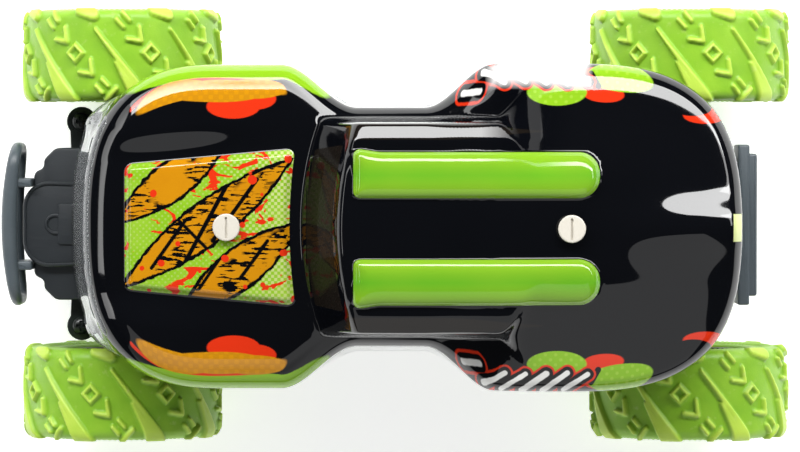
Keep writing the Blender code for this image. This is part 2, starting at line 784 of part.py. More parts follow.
def bumper_loop():
    """Points around the bumper hoop, bowed back at its ends."""
    half, corner = HOOP_HALF - HOOP_CORNER, HOOP_CORNER
    points = []
    for centre_y, centre_z, start in (
        (half, HOOP_TOP - corner, 0),
        (-half, HOOP_TOP - corner, 90),
        (-half, HOOP_BOTTOM + corner, 180),
        (half, HOOP_BOTTOM + corner, 270),
    ):
        for i in range(5):
            angle = math.radians(start + 22.5 * i)
            points.append((centre_y + corner * math.cos(angle), centre_z + corner * math.sin(angle)))
    closed = []
    for i, (y, z) in enumerate(points):
        closed.append((y, z))
        after = points[(i + 1) % len(points)]
        if abs(after[0] - y) > 2 * corner:
            closed += [(y + (after[0] - y) * k / 6, z) for k in range(1, 6)]
    front = FRONT_END - HOOP_RADIUS
    return [(front - HOOP_BOW * (y / HOOP_HALF) ** 2, y, z) for y, z in closed]


def make_front_bumper(material):
    """Bent hoop in front of the wheels, held by two stays."""
    loop = bumper_loop()
    radii = [HOOP_RADIUS - HOOP_TAPER * (abs(y) / HOOP_HALF) ** 2 for _, y, _ in loop]
    hoop = sweep("front_bumper_bar", loop, radii, 8, material, closed=True)
    rear, front = BOX_FRONT + 3 + GAP, FRONT_END - HOOP_RADIUS
    for y in (-STAY_Y, STAY_Y):
        join(hoop, block("stay", rear, front - 0.5, y - 1.5, y + 1.5, HOOP_BOTTOM - 1.4, 42))
        join(hoop, block("stay_top", rear, front - 0.3, y - 1.2, y + 1.2, 41, HOOP_TOP + 1))
    return smooth(hoop)


# ------------------------------------------------------------------ chassis

def make_chassis_tub(material):
    half, inner = TUB_HALF, TUB_HALF - WALL
    rear, front = TUB_REAR, TUB_FRONT
    tub = block("chassis_tub", rear, front, -half, half, TUB_BOTTOM, TUB_TOP, material)
    cut(tub, block("tub_hollow", rear + WALL, front - WALL, -inner, inner, TUB_BOTTOM + 2, 60))
    cut(tub, block("door_hole", DOOR_REAR, DOOR_FRONT, -DOOR_HALF, DOOR_HALF, 0, 25))
    cut(tub, block("switch_hole", SWITCH_X - 2.4, SWITCH_X + 6.5, -2.2, 2.2, 0, 25))
    for y in (-EAR_Y, EAR_Y):
        join(tub, block("ear", SWING_X, rear + 1, y - 2, y + 2, SWING_Z - 3.5, SWING_Z + 3.5))
        join(tub, cylinder("ear_end", 3.5, SWING_X, SWING_Z, y - 2, y + 2, "Y", segments=14))
    cut(tub, cylinder("ear_hole", SWING_PIN_RADIUS + GAP, SWING_X, SWING_Z, -30, 30, "Y", segments=12))
    return smooth(tub)


def make_battery_door(material):
    door = block(
        "battery_door", DOOR_REAR + GAP, DOOR_FRONT - GAP, -DOOR_HALF + GAP, DOOR_HALF - GAP,
        TUB_BOTTOM, TUB_BOTTOM + 1.8, material,
    )
    cut(door, cylinder("door_screw_seat", 3.2, DOOR_SCREW_X, 0, 10, TUB_BOTTOM + 1.0, segments=14))
    return door


def make_power_switch(material):
    low, high = TUB_BOTTOM - 1.1, TUB_BOTTOM + 3
    knob = block("power_switch", SWITCH_X - 2, SWITCH_X + 2, -1.8, 1.8, low, high, material)
    flange = block("switch_flange", SWITCH_X - 4, SWITCH_X + 4, -3.6, 3.6, high - 1 + GAP, high + 0.8)
    join(knob, flange)
    return knob


def make_chassis_cover(material):
    low, half = TUB_TOP + GAP, TUB_HALF
    cover = block("chassis_cover", TUB_REAR, TUB_FRONT, -half, half, low, DECK_TOP, material)
    for y in (-20, 20):
        rib = block("cover_rib", TUB_REAR + 8, TUB_FRONT - 4, y - 1, y + 1, DECK_TOP - 0.3, DECK_TOP + 2)
        join(cover, rib)
    return cover


def make_rear_frame(material):
    """Leg on the chassis cover and a shelf over the gearbox that the rear springs push on."""
    half, low, high = FRAME_HALF, FRAME_BOTTOM, FRAME_TOP
    frame = block("rear_frame", FRAME_REAR, FRAME_FRONT, -half, half, low, high, material)
    leg = block("frame_leg", FRAME_FRONT - 5.5, FRAME_FRONT, -17, 17, DECK_TOP + GAP, low + 1)
    join(frame, leg)
    return frame


def make_rear_bumper(material):
    """Two-step block across the tail."""
    outline = TAIL_BLOCK + [(x, -y) for x, y in TAIL_BLOCK[::-1]]
    bumper = prism("rear_bumper", outline, TAIL_BLOCK_BOTTOM, TAIL_BLOCK_TOP, "Z", material)
    bevel = bumper.modifiers.new("rounding", "BEVEL")
    bevel.width = 0.6 * MM
    bevel.segments = 1
    return bumper


# ------------------------------------------------------------------ gearbox

def gear_outline(teeth, phase):
    """Straight-flanked teeth with play between mating flanks."""
    pitch = MODULE * teeth / 2
    tip, root = pitch + 0.8 * MODULE, pitch - 1.05 * MODULE
    half_pitch = 0.36 * math.pi * MODULE / 2
    half_tip = (half_pitch - 0.8 * MODULE * math.tan(math.radians(20))) / tip
    half_root = (half_pitch + 1.05 * MODULE * math.tan(math.radians(14))) / root
    points = []
    for i in range(teeth):
        centre = phase + 2 * math.pi * i / teeth
        flanks = ((root, -half_root), (tip, -half_tip), (tip, half_tip), (root, half_root))
        for radius, offset in flanks:
            turn = centre + offset
            points.append((radius * math.cos(turn), radius * math.sin(turn)))
    return points


def gear(name, teeth, phase, x, low, high, bore, material=None):
    """A spur gear on an axis along Y at the axle's height."""
    outline = [(a + x, b + AXLE_Z) for a, b in gear_outline(teeth, phase)]
    made = prism(name, outline, low, high, "Y", material)
    if bore:
        cut(made, cylinder(name + "_bore", bore, x, AXLE_Z, low - 5, high + 5, "Y", segments=12))
    return made


def make_gearbox_half(name, low, high, material):
    """One half of the split housing: lower if it is open upwards."""
    lower = high < AXLE_Z + 1
    rear, front, wall = GEARBOX_REAR, GEARBOX_FRONT, GEARBOX_WALL
    half = block(name, rear, front, -GEARBOX_HALF, GEARBOX_HALF, low, high, material)
    inner = GEARBOX_HALF - wall
    floor = low + wall if lower else low - 5
    roof = high + 5 if lower else high - wall
    cut(half, block(name + "_hollow", rear + wall, front - wall, -inner, inner, floor, roof))
    cut(half, cylinder(name + "_axle_hole", 4.3, REAR_AXLE_X, AXLE_Z, -30, 30, "Y", segments=16))
    cut(half, cylinder(name + "_idler_hole", 1.35, IDLER_X, AXLE_Z, -30, 30, "Y", segments=10))
    if lower:
        x, z, hole = SWING_X, SWING_Z, SWING_PIN_RADIUS + GAP
        for y in (-LUG_Y, LUG_Y):
            join(half, block("swing_lug", x, front - 1, y - 2.5, y + 2.5, z - 3.5, z + 3.5))
            join(half, cylinder("swing_end", 3.5, x, z, y - 2.5, y + 2.5, "Y", segments=14))
        cut(half, cylinder("swing_hole", hole, x, z, -30, 30, "Y", segments=12))
    else:
        for y in (-SPRING_Y, SPRING_Y):
            join(half, cylinder("spring_guide", 1.5, SPRING_X, y, high - 1, high + 4.5, segments=12))
    return smooth(half)


def make_gear_train(materials):
    white, brass = materials["white"], materials["brass"]
    axle_bore = AXLE_RADIUS + GAP
    axle_gear = gear("axle_gear", AXLE_TEETH, 0, REAR_AXLE_X, 15.2, 17.4, axle_bore, white)
    idler = gear("idler_gear", IDLER_LARGE_TEETH, 0, IDLER_X, 12.6, 14.6, 0, white)
    small_phase = math.pi / IDLER_SMALL_TEETH
    join(idler, gear("idler_small", IDLER_SMALL_TEETH, small_phase, IDLER_X, 14.4, 17.6, 0))
    cut(idler, cylinder("idler_bore", 1.3, IDLER_X, AXLE_Z, 5, 25, "Y", segments=12))
    phase = math.pi / PINION_TEETH
    pinion = gear("motor_pinion", PINION_TEETH, phase, MOTOR_X, 12.5, 14.8, 0, brass)
    join(pinion, cylinder("pinion_shaft", 1.0, MOTOR_X, AXLE_Z, 12.6, 17.8, "Y", segments=10))
    return axle_gear, idler, pinion


def make_motor(material):
    motor = cylinder("drive_motor", 10, MOTOR_X, AXLE_Z, -14, 11, "Y", material, 24)
    join(
        motor,
        cylinder("motor_bell", 8.6, MOTOR_X, AXLE_Z, -16.5, -13, "Y", segments=20),
        cylinder("motor_boss", 3, MOTOR_X, AXLE_Z, 10, 12.1, "Y", segments=14),
    )
    return smooth(motor)


# ----------------------------------------------------------------- assembly

def main():
    for old in list(bpy.data.objects):
        bpy.data.objects.remove(old, do_unlink=True)

    materials = {
        "shell": make_material("shell_black", 12, 14, 18, 0.08),
        "tyre": make_material("tyre_green", 150, 190, 50, 0.5),
        "rim": make_material("rim_grey", 48, 52, 56, 0.35),
        "chassis": make_material("chassis_grey", 53, 58, 62, 0.5),
        "black": make_material("black_plastic", 24, 28, 27, 0.35),
        "white": make_material("white_plastic", 214, 208, 198, 0.45),
        "steel": make_material("steel", 170, 172, 175, 0.3, 1.0),
        "brass": make_material("brass", 196, 160, 80, 0.3, 1.0),
        "board": make_material("board_green", 28, 92, 58, 0.5),
        "battery": make_material("battery_wrap", 40, 90, 170, 0.4),
    }

    # Root: the chassis and everything fixed to it
    make_chassis_tub(materials["chassis"])
    make_chassis_cover(materials["chassis"])
    make_front_bulkhead(materials["chassis"])
    make_axle_plate(materials["chassis"])
    make_steering_cover(materials["chassis"])
    make_front_bumper(materials["chassis"])
    make_rear_frame(materials["chassis"])
    make_rear_bumper(materials["chassis"])
    make_battery_door(materials["chassis"])
    screw = [(0, 0), (2.8, 0), (2.8, 0.5), (1.9, 0.8), (0, 0.8)]
    seat = TUB_BOTTOM + 0.75
    make_screw("battery_door_screw", screw, DOOR_SCREW_X, 0, seat, materials["steel"], up=-1)
    block("battery_pack", -15.5, 35.5, -15.5, 15.5, 20.3, 33, materials["battery"])
    block("circuit_board", -14, 44, -20, 20, 34.4, 36, materials["board"])
    make_body_post("front_body_post", POST_X, DECK_TOP + GAP, materials["chassis"])
    make_body_post("rear_body_post", -POST_X, FRAME_TOP + GAP, materials["chassis"])
    steel = materials["steel"]
    smooth(cylinder("swing_pin", SWING_PIN_RADIUS, SWING_X, SWING_Z, -19.5, 19.5, "Y", steel, 12))
    servo, lever = make_steering(materials)
    for side, word in ((1, "left"), (-1, "right")):
        make_spring(
            f"front_{word}_spring", FRONT_AXLE_X, side * KINGPIN_Y, KNUCKLE_TOP + 1.6,
            AXLE_PLATE_BOTTOM - GAP, 2.3, 0.35, 4, materials["steel"],
        )
        make_spring(
            f"rear_{word}_spring", SPRING_X, side * SPRING_Y, GEARBOX_TOP + GAP,
            FRAME_BOTTOM - GAP, 2.8, 0.4, 5, materials["steel"],
        )

    # Body shell and its locks, which lift off upwards
    shell_pivot = pivot("shell_lift", 0, 0, 80)
    carry(shell_pivot, make_body_shell(materials["shell"]))
    for word, x in (("front", POST_X), ("rear", -POST_X)):
        turn = pivot(word + "_lock_turn", x, 0, skin_z(x), shell_pivot)
        carry(turn, make_lock(word + "_lock", x, materials["white"]))

    # Power switch
    carry(pivot("switch_slide", SWITCH_X, 0, TUB_BOTTOM), make_power_switch(materials["black"]))

    # Front axle
    bar_pivot = pivot("tie_bar_slide", TIE_X, 0, TIE_BAR_BOTTOM)
    carry(bar_pivot, make_tie_bar(materials["black"]))
    carry(pivot("lever_turn", FRONT_AXLE_X, 0, 33), lever)
    meshes = wheel_meshes(materials)
    for side, word in ((1, "left"), (-1, "right")):
        travel = pivot(word + "_travel", FRONT_AXLE_X, side * KINGPIN_Y, AXLE_Z)
        carry(travel, make_kingpin(side, materials))
        steer = pivot(word + "_steer", FRONT_AXLE_X, side * KINGPIN_Y, AXLE_Z, travel)
        carry(steer, *make_knuckle(side, materials))
        spin = pivot(f"front_{word}_spin", FRONT_AXLE_X, side * WHEEL_Y, AXLE_Z, steer)
        carry(spin, *make_wheel(f"front_{word}", FRONT_AXLE_X, side, meshes))

    # Rear gearbox and everything that swings with it
    swing = pivot("rear_swing", SWING_X, 0, SWING_Z)
    carry(
        swing,
        make_gearbox_half("gearbox_lower", GEARBOX_BOTTOM, AXLE_Z - GAP / 2, materials["black"]),
        make_gearbox_half("gearbox_upper", AXLE_Z + GAP / 2, GEARBOX_TOP, materials["black"]),
        make_motor(steel),
        smooth(cylinder("idler_shaft", 1.0, IDLER_X, AXLE_Z, -19.8, 19.8, "Y", steel, 10)),
    )
    for side, word in ((1, "left"), (-1, "right")):
        reach = sorted((side * (GEARBOX_HALF - GEARBOX_WALL), side * (GEARBOX_HALF + 0.6)))
        bush = tube(
            f"axle_bush_{word}", 4.0, AXLE_RADIUS + GAP, REAR_AXLE_X, AXLE_Z, *reach, "Y",
            materials["brass"], 16,
        )
        carry(swing, smooth(bush))
    axle = pivot("rear_axle_spin", REAR_AXLE_X, 0, AXLE_Z, swing)
    axle_gear, idler, pinion = make_gear_train(materials)
    reach = (-STUB_END, STUB_END)
    shaft = cylinder("rear_axle_shaft", AXLE_RADIUS, REAR_AXLE_X, AXLE_Z, *reach, "Y", steel, 14)
    carry(axle, smooth(shaft), axle_gear)
    for side, word in ((1, "left"), (-1, "right")):
        carry(axle, *make_wheel(f"rear_{word}", REAR_AXLE_X, side, meshes))
    carry(pivot("idler_spin", IDLER_X, 0, AXLE_Z, swing), idler)
    carry(pivot("motor_spin", MOTOR_X, 0, AXLE_Z, swing), pinion)


main()
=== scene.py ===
"""The looks of the four-wheel stunt car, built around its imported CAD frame.

Lengths are in millimetres in the frame's own axes (+X forward, +Y left, +Z up), and become
metres when a mesh is made."""

import json
import math

import bmesh
import bpy
import numpy as np
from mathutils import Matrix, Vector


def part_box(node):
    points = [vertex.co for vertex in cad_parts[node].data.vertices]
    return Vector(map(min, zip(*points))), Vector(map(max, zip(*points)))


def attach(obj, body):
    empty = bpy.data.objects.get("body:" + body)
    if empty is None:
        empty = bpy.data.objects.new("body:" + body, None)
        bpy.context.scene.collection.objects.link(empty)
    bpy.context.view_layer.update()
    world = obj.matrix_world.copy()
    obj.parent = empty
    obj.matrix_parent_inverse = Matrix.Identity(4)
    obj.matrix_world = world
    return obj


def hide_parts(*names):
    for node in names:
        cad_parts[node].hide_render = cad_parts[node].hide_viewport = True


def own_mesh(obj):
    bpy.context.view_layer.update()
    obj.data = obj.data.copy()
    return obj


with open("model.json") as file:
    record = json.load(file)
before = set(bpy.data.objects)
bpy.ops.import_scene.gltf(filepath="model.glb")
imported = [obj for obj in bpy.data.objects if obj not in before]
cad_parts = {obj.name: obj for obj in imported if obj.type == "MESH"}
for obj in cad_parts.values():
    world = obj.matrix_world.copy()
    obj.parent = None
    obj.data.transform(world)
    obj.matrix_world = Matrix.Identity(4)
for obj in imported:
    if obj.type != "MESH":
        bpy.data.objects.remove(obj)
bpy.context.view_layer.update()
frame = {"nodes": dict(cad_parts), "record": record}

MM = 0.001


def node_box(node):
    low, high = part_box(node)
    return np.array(low) / MM, np.array(high) / MM


def middle(node):
    low, high = node_box(node)
    return (low + high) / 2


# Places taken from the frame
FRONT_AXLE_X, _, AXLE_Z = middle("front_left_tyre")
REAR_AXLE_X = middle("rear_left_tyre")[0]
TYRE_RADIUS = AXLE_Z - 0.02
TYRE_HALF = 13.95
KINGPIN_Y = middle("left_kingpin")[1]
TIE_X = middle("left_tie_screw")[0]
COVER_LOW, COVER_HIGH = node_box("steering_cover")
BULKHEAD_LOW, BULKHEAD_HIGH = node_box("front_bulkhead")
TIE_LOW, TIE_HIGH = node_box("tie_bar")
HOOP_FRONT = node_box("front_bumper_bar")[1][0]
TAIL_LOW, TAIL_HIGH = node_box("rear_bumper")

# Springs: the travel of what each one carries, and how far the rear ones are from the swing pin
SPRING_WIRE, SPRING_TURNS = 0.5, 5
FRONT_TRAVEL = 4.0
REAR_SPRING_REACH, REAR_SWING_DEGREES = 32.5, 6.5

# Shape of the body shell
SHELL_THICKNESS = 1.0
FENDER_HALF = 47.7
NOSE_START, NOSE_REACH, NOSE_POWER = 52.0, 41.1, 2.6
TAIL_START, TAIL_REACH, TAIL_POWER = -50.0, 50.4, 2.85
EDGE_RADIUS = 4.0
EDGE_WIDTH, EDGE_SLOPE = 8.0, 0.36
ARCH_RADIUS = 38.0
NOSE_RIM, ROCKER_RIM, TAIL_RIM = 49.0, 44.0, 58.5
BASE_LINE = [
    (-102, 90.5), (-90, 95), (-75, 99), (-60, 102), (-45, 103.5), (-33, 101), (-22, 95.5), (-10, 90.6),
    (0, 90), (35, 88), (70, 85), (88, 82), (98, 79),
]
CABIN_LINE = [
    (-102, 3), (-90, 4), (-75, 4.5), (-60, 5.6), (-45, 7.3), (-33, 11), (-22, 16.7), (-10, 21.2),
    (0, 21.5), (16, 20.5), (40, 20),
]
SCREEN_BASE, SCREEN_TOP, SCREEN_BOW = 28.0, 16.5, 0.0053
BELT_HALF, ROOF_HALF = 31.9, 30.3
SHOULDER_HALF, SHOULDER_SLOPE = 25.6, 0.27
TAIL_HUMP = 4.0
DOME_FRONT, DOME_REAR, DOME_HEIGHT = 80.0, 31.6, 1.8
RIB_FRONT, RIB_REAR, RIB_Y, RIB_HALF, RIB_HEIGHT = 12.7, -58.2, 15.4, 6.6, 2.7
CORNER_Y = 37.0


# ------------------------------------------------------------ shader wires

class Wire:
    """A number in a shader. Arithmetic on wires adds Math nodes."""

    def __init__(self, tree, socket):
        self.tree = tree
        self.socket = socket

    def math(self, operation, *others):
        node = self.tree.nodes.new("ShaderNodeMath")
        node.operation = operation
        plug(self.tree, self, node.inputs[0])
        for i, other in enumerate(others):
            plug(self.tree, other, node.inputs[i + 1])
        return Wire(self.tree, node.outputs[0])

    def __add__(self, other):
        return self.math("ADD", other)

    def __sub__(self, other):
        return self.math("SUBTRACT", other)

    def __rsub__(self, other):
        return (self * -1) + other

    def __mul__(self, other):
        return self.math("MULTIPLY", other)

    __radd__ = __add__
    __rmul__ = __mul__

    def __truediv__(self, other):
        return self.math("DIVIDE", other)

    def __neg__(self):
        return self * -1

    def __abs__(self):
        return self.math("ABSOLUTE")


def plug(tree, value, socket):
    if isinstance(value, Wire):
        tree.links.new(value.socket, socket)
    else:
        socket.default_value = value


def lesser(first, *rest):
    for other in rest:
        first = first.math("MINIMUM", other)
    return first


def greater(first, *rest):
    for other in rest:
        first = first.math("MAXIMUM", other)
    return first


def inside(distance, softness=0.12):
    """1 where a signed distance is negative, 0 outside, with a short ramp."""
    return greater(lesser((distance * (-0.5 / softness)) + 0.5, 1.0), 0.0)


def ramp(value, low, high):
    """0 below low, 1 above high and straight between."""
    return greater(lesser((value - low) / (high - low), 1.0), 0.0)


def linear(value):
    share = value / 255
    return share / 12.92 if share <= 0.04045 else ((share + 0.055) / 1.055) ** 2.4


def rgb(red, green, blue):
    """A display colour, 0 to 255, as linear RGBA."""
    return (linear(red), linear(green), linear(blue), 1.0)


class Material:
    """A Principled material with short ways to add what changes over the surface."""

    def __init__(self, name, roughness=0.5, metallic=0.0, coat=0.0):
        self.material = bpy.data.materials.new(name)
        self.material.use_nodes = True
        self.tree = self.material.node_tree
        self.shader = self.tree.nodes["Principled BSDF"]
        self.shader.inputs["Roughness"].default_value = roughness
        self.shader.inputs["Metallic"].default_value = metallic
        self.shader.inputs["Coat Weight"].default_value = coat
        self.shader.inputs["Coat Roughness"].default_value = 0.04
        self.coordinate = self.tree.nodes.new("ShaderNodeTexCoord").outputs["Object"]

    def place(self):
        """The point's x, y and z in millimetres."""
        split = self.tree.nodes.new("ShaderNodeSeparateXYZ")
        self.tree.links.new(self.coordinate, split.inputs[0])
        return tuple(Wire(self.tree, out) / MM for out in split.outputs)

    def attribute(self, name):
        node = self.tree.nodes.new("ShaderNodeAttribute")
        node.attribute_name = name
        return Wire(self.tree, node.outputs["Fac"])

    def stretched(self, x=1.0, y=1.0, z=1.0):
        node = self.tree.nodes.new("ShaderNodeMapping")
        node.inputs["Scale"].default_value = (x, y, z)
        self.tree.links.new(self.coordinate, node.inputs["Vector"])
        return node.outputs[0]

    def noise(self, size, detail=2.0, distortion=0.0, stretch=None):
        """Noise from 0 to 1, with features about size millimetres across."""
        node = self.tree.nodes.new("ShaderNodeTexNoise")
        node.inputs["Scale"].default_value = 1 / (size * MM)
        node.inputs["Detail"].default_value = detail
        node.inputs["Distortion"].default_value = distortion
        vector = self.stretched(*stretch) if stretch else self.coordinate
        self.tree.links.new(vector, node.inputs["Vector"])
        return Wire(self.tree, node.outputs["Fac"])

    def cells(self, size, randomness=1.0):
        """Distance to the nearest of scattered points, as a share of their spacing."""
        node = self.tree.nodes.new("ShaderNodeTexVoronoi")
        node.inputs["Scale"].default_value = 1 / (size * MM)
        node.inputs["Randomness"].default_value = randomness
        self.tree.links.new(self.coordinate, node.inputs["Vector"])
        return Wire(self.tree, node.outputs["Distance"])

    def mix(self, base, layer, mask):
        """The colour of layer where mask is 1, and base where it is 0."""
        node = self.tree.nodes.new("ShaderNodeMix")
        node.data_type = "RGBA"
        plug(self.tree, mask, node.inputs["Factor"])
        for value, socket in ((base, node.inputs[6]), (layer, node.inputs[7])):
            if isinstance(value, tuple):
                socket.default_value = value
            else:
                self.tree.links.new(value, socket)
        return node.outputs[2]

    def colour(self, value):
        socket = self.shader.inputs["Base Color"]
        if isinstance(value, tuple):
            socket.default_value = value
        else:
            self.tree.links.new(value, socket)

    def rough(self, wire):
        plug(self.tree, wire, self.shader.inputs["Roughness"])

    def bump(self, height, depth, strength=1.0):
        """height is from 0 to 1, and depth what 1 stands for, in millimetres."""
        node = self.tree.nodes.new("ShaderNodeBump")
        node.inputs["Strength"].default_value = strength
        node.inputs["Distance"].default_value = depth * MM
        plug(self.tree, height, node.inputs["Height"])
        self.tree.links.new(node.outputs[0], self.shader.inputs["Normal"])


# --------------------------------------------------------------- materials

def moulded(name, light, dark, roughness, grain=0.02, grain_size=0.45):
    """Moulded plastic: slow colour change, fine spark-eroded grain and faint handling marks."""
    made = Material(name, roughness)
    slow = made.noise(9.0, 3.0)
    fine = made.noise(grain_size, 2.0)
    made.colour(made.mix(dark, light, slow * 0.6 + fine * 0.4))
    scratches = ramp(made.noise(1.2, 2.0, stretch=(0.08, 1.0, 0.6)), 0.56, 0.62)
    made.rough((fine * 0.16 + scratches * 0.08) + (roughness - 0.08))
    made.bump(fine * 0.8 + slow * 0.2, grain)
    return made.material


def metal(name, light, dark, roughness):
    made = Material(name, roughness, metallic=1.0)
    lathe = made.noise(0.5, 2.0, stretch=(1.0, 0.12, 1.0))
    slow = made.noise(5.0, 2.0)
    made.colour(made.mix(dark, light, slow * 0.5 + lathe * 0.5))
    made.rough(lathe * 0.2 + (roughness - 0.1))
    made.bump(lathe, 0.01)
    return made.material


def tyre_material():
    """Soft lime rubber, with painted light and shade: paler painted light on top of the lugs, and deeper
    green painted shade in the bed between them.
    """
    made = Material("tyre_rubber", 0.42)
    raised = made.attribute("raised")
    slow = made.noise(7.0, 3.0)
    fine = made.noise(0.5, 2.0)
    # Painted shade in the bed between the lugs and painted light on their tops, set by the lugs' height
    bed = made.mix(rgb(118, 172, 28), rgb(146, 194, 44), slow)
    top = made.mix(rgb(176, 212, 66), rgb(196, 222, 86), slow)
    body = made.mix(bed, top, greater(lesser(raised * 0.9 + (slow - 0.5) * 0.25, 1.0), 0.0))
    made.colour(made.mix(body, rgb(196, 206, 140), ramp(made.noise(2.6, 4.0), 0.62, 0.8) * 0.35))
    made.rough(fine * 0.18 + 0.34)
    made.bump(fine * 0.7 + slow * 0.3, 0.05)
    made.shader.inputs["Subsurface Weight"].default_value = 0.12
    made.shader.inputs["Subsurface Radius"].default_value = (1.0, 1.0, 0.3)
    made.shader.inputs["Subsurface Scale"].default_value = 1.5 * MM
    return made.material


def floor_material():
    """White paper, lit a little from below."""
    made = Material("floor", 0.6)
    made.colour(made.mix(rgb(246, 246, 245), rgb(250, 250, 250), made.noise(120.0, 2.0)))
    made.shader.inputs["Emission Color"].default_value = (1, 1, 1, 1)
    made.shader.inputs["Emission Strength"].default_value = 0.6
    return made.material


BLACK = rgb(4, 5, 8)
AMBER = rgb(196, 134, 12)
AMBER_DEEP = rgb(180, 112, 10)
LIME = rgb(128, 176, 30)
LIME_PALE = rgb(164, 196, 74)
RED = rgb(208, 48, 18)
PALE = rgb(206, 206, 150)
WHITE = rgb(228, 228, 224)


def blob(x, inset, centre_x, centre_inset, radius_x, radius_inset):
    """Signed distance, roughly in millimetres, to an ellipse on the fender."""
    a = (x - centre_x) / radius_x
    b = (inset - centre_inset) / radius_inset
    reach = (a * a + b * b).math("SQRT")
    return (reach - 1.0) * min(radius_x, radius_inset)


def bar(x, y, x0, y0, x1, y1, radius):
    """Signed distance to a straight stroke with round ends."""
    dx, dy = x1 - x0, y1 - y0
    share = ((x - x0) * dx + (y - y0) * dy) / (dx * dx + dy * dy)
    share = greater(lesser(share, 1.0), 0.0)
    a = x - x0 - share * dx
    b = y - y0 - share * dy
    return (a * a + b * b).math("SQRT") - radius


def slash(x, y, centre_x, centre_y, half_length, half_width, ragged):
    """Signed distance to a torn claw mark that runs across the bonnet, pointed at both ends."""
    along = ((x - centre_x) * -0.8 + (y - centre_y) * -0.6) / half_length
    across = abs((x - centre_x) * 0.6 + (y - centre_y) * -0.8)
    width = (along * along * -1 + 1.0) * half_width
    return across + ragged - width


def bonnet_art(made, x, y, ragged):
    """Halftone ground with splashes, under three parallel torn slashes."""
    halftone = (x * 3.4).math("SINE") * (y * 3.4).math("SINE")
    fade = ramp(x, 56.0, 34.0)
    ground = made.mix(LIME, PALE, inside(0.5 - halftone - fade * 0.5, 0.25) * (fade * 0.5 + 0.25))
    ground = made.mix(ground, LIME_PALE, ramp(made.noise(14.0, 2.0), 0.45, 0.7) * 0.4)
    splash = made.noise(6.0, 4.0, distortion=1.2, stretch=(0.7, 1.2, 1.0))
    ground = made.mix(ground, RED, ramp(splash, 0.565, 0.58))
    torn = lesser(
        slash(x, y, 56, -1.0, 30, 5.6, ragged),
        slash(x, y, 46, 12.0, 21, 5.4, ragged),
        slash(x, y, 66, -13.5, 20, 5.0, ragged),
    )
    scribble = made.noise(1.9, 3.0, stretch=(0.4, 1.9, 1.0))
    patch = ramp(made.noise(10.0, 2.0), 0.46, 0.52)
    face = made.mix(AMBER, AMBER_DEEP, made.noise(8.0, 2.0) * 0.6)
    face = made.mix(face, BLACK, ramp(scribble, 0.52, 0.535) * patch)
    cuts = [
        (72, 12, 62, -2, 0.55), (62, 10, 50, -12, 0.65), (58, 18, 47, 2, 0.5),
        (54, 4, 41, -14, 0.6), (46, 15, 38, 4, 0.55), (68, -6, 56, 6, 0.5),
    ]
    face = made.mix(face, BLACK, inside(lesser(*[bar(x, y, *ends) for ends in cuts])))
    art = made.mix(ground, BLACK, inside(torn - 1.0))
    art = made.mix(art, face, inside(torn))
    drops = made.cells(5.5) - ramp(made.noise(11.0, 1.0), 0.4, 0.8) * 0.3
    return made.mix(art, RED, inside(drops - 0.1, 0.01))


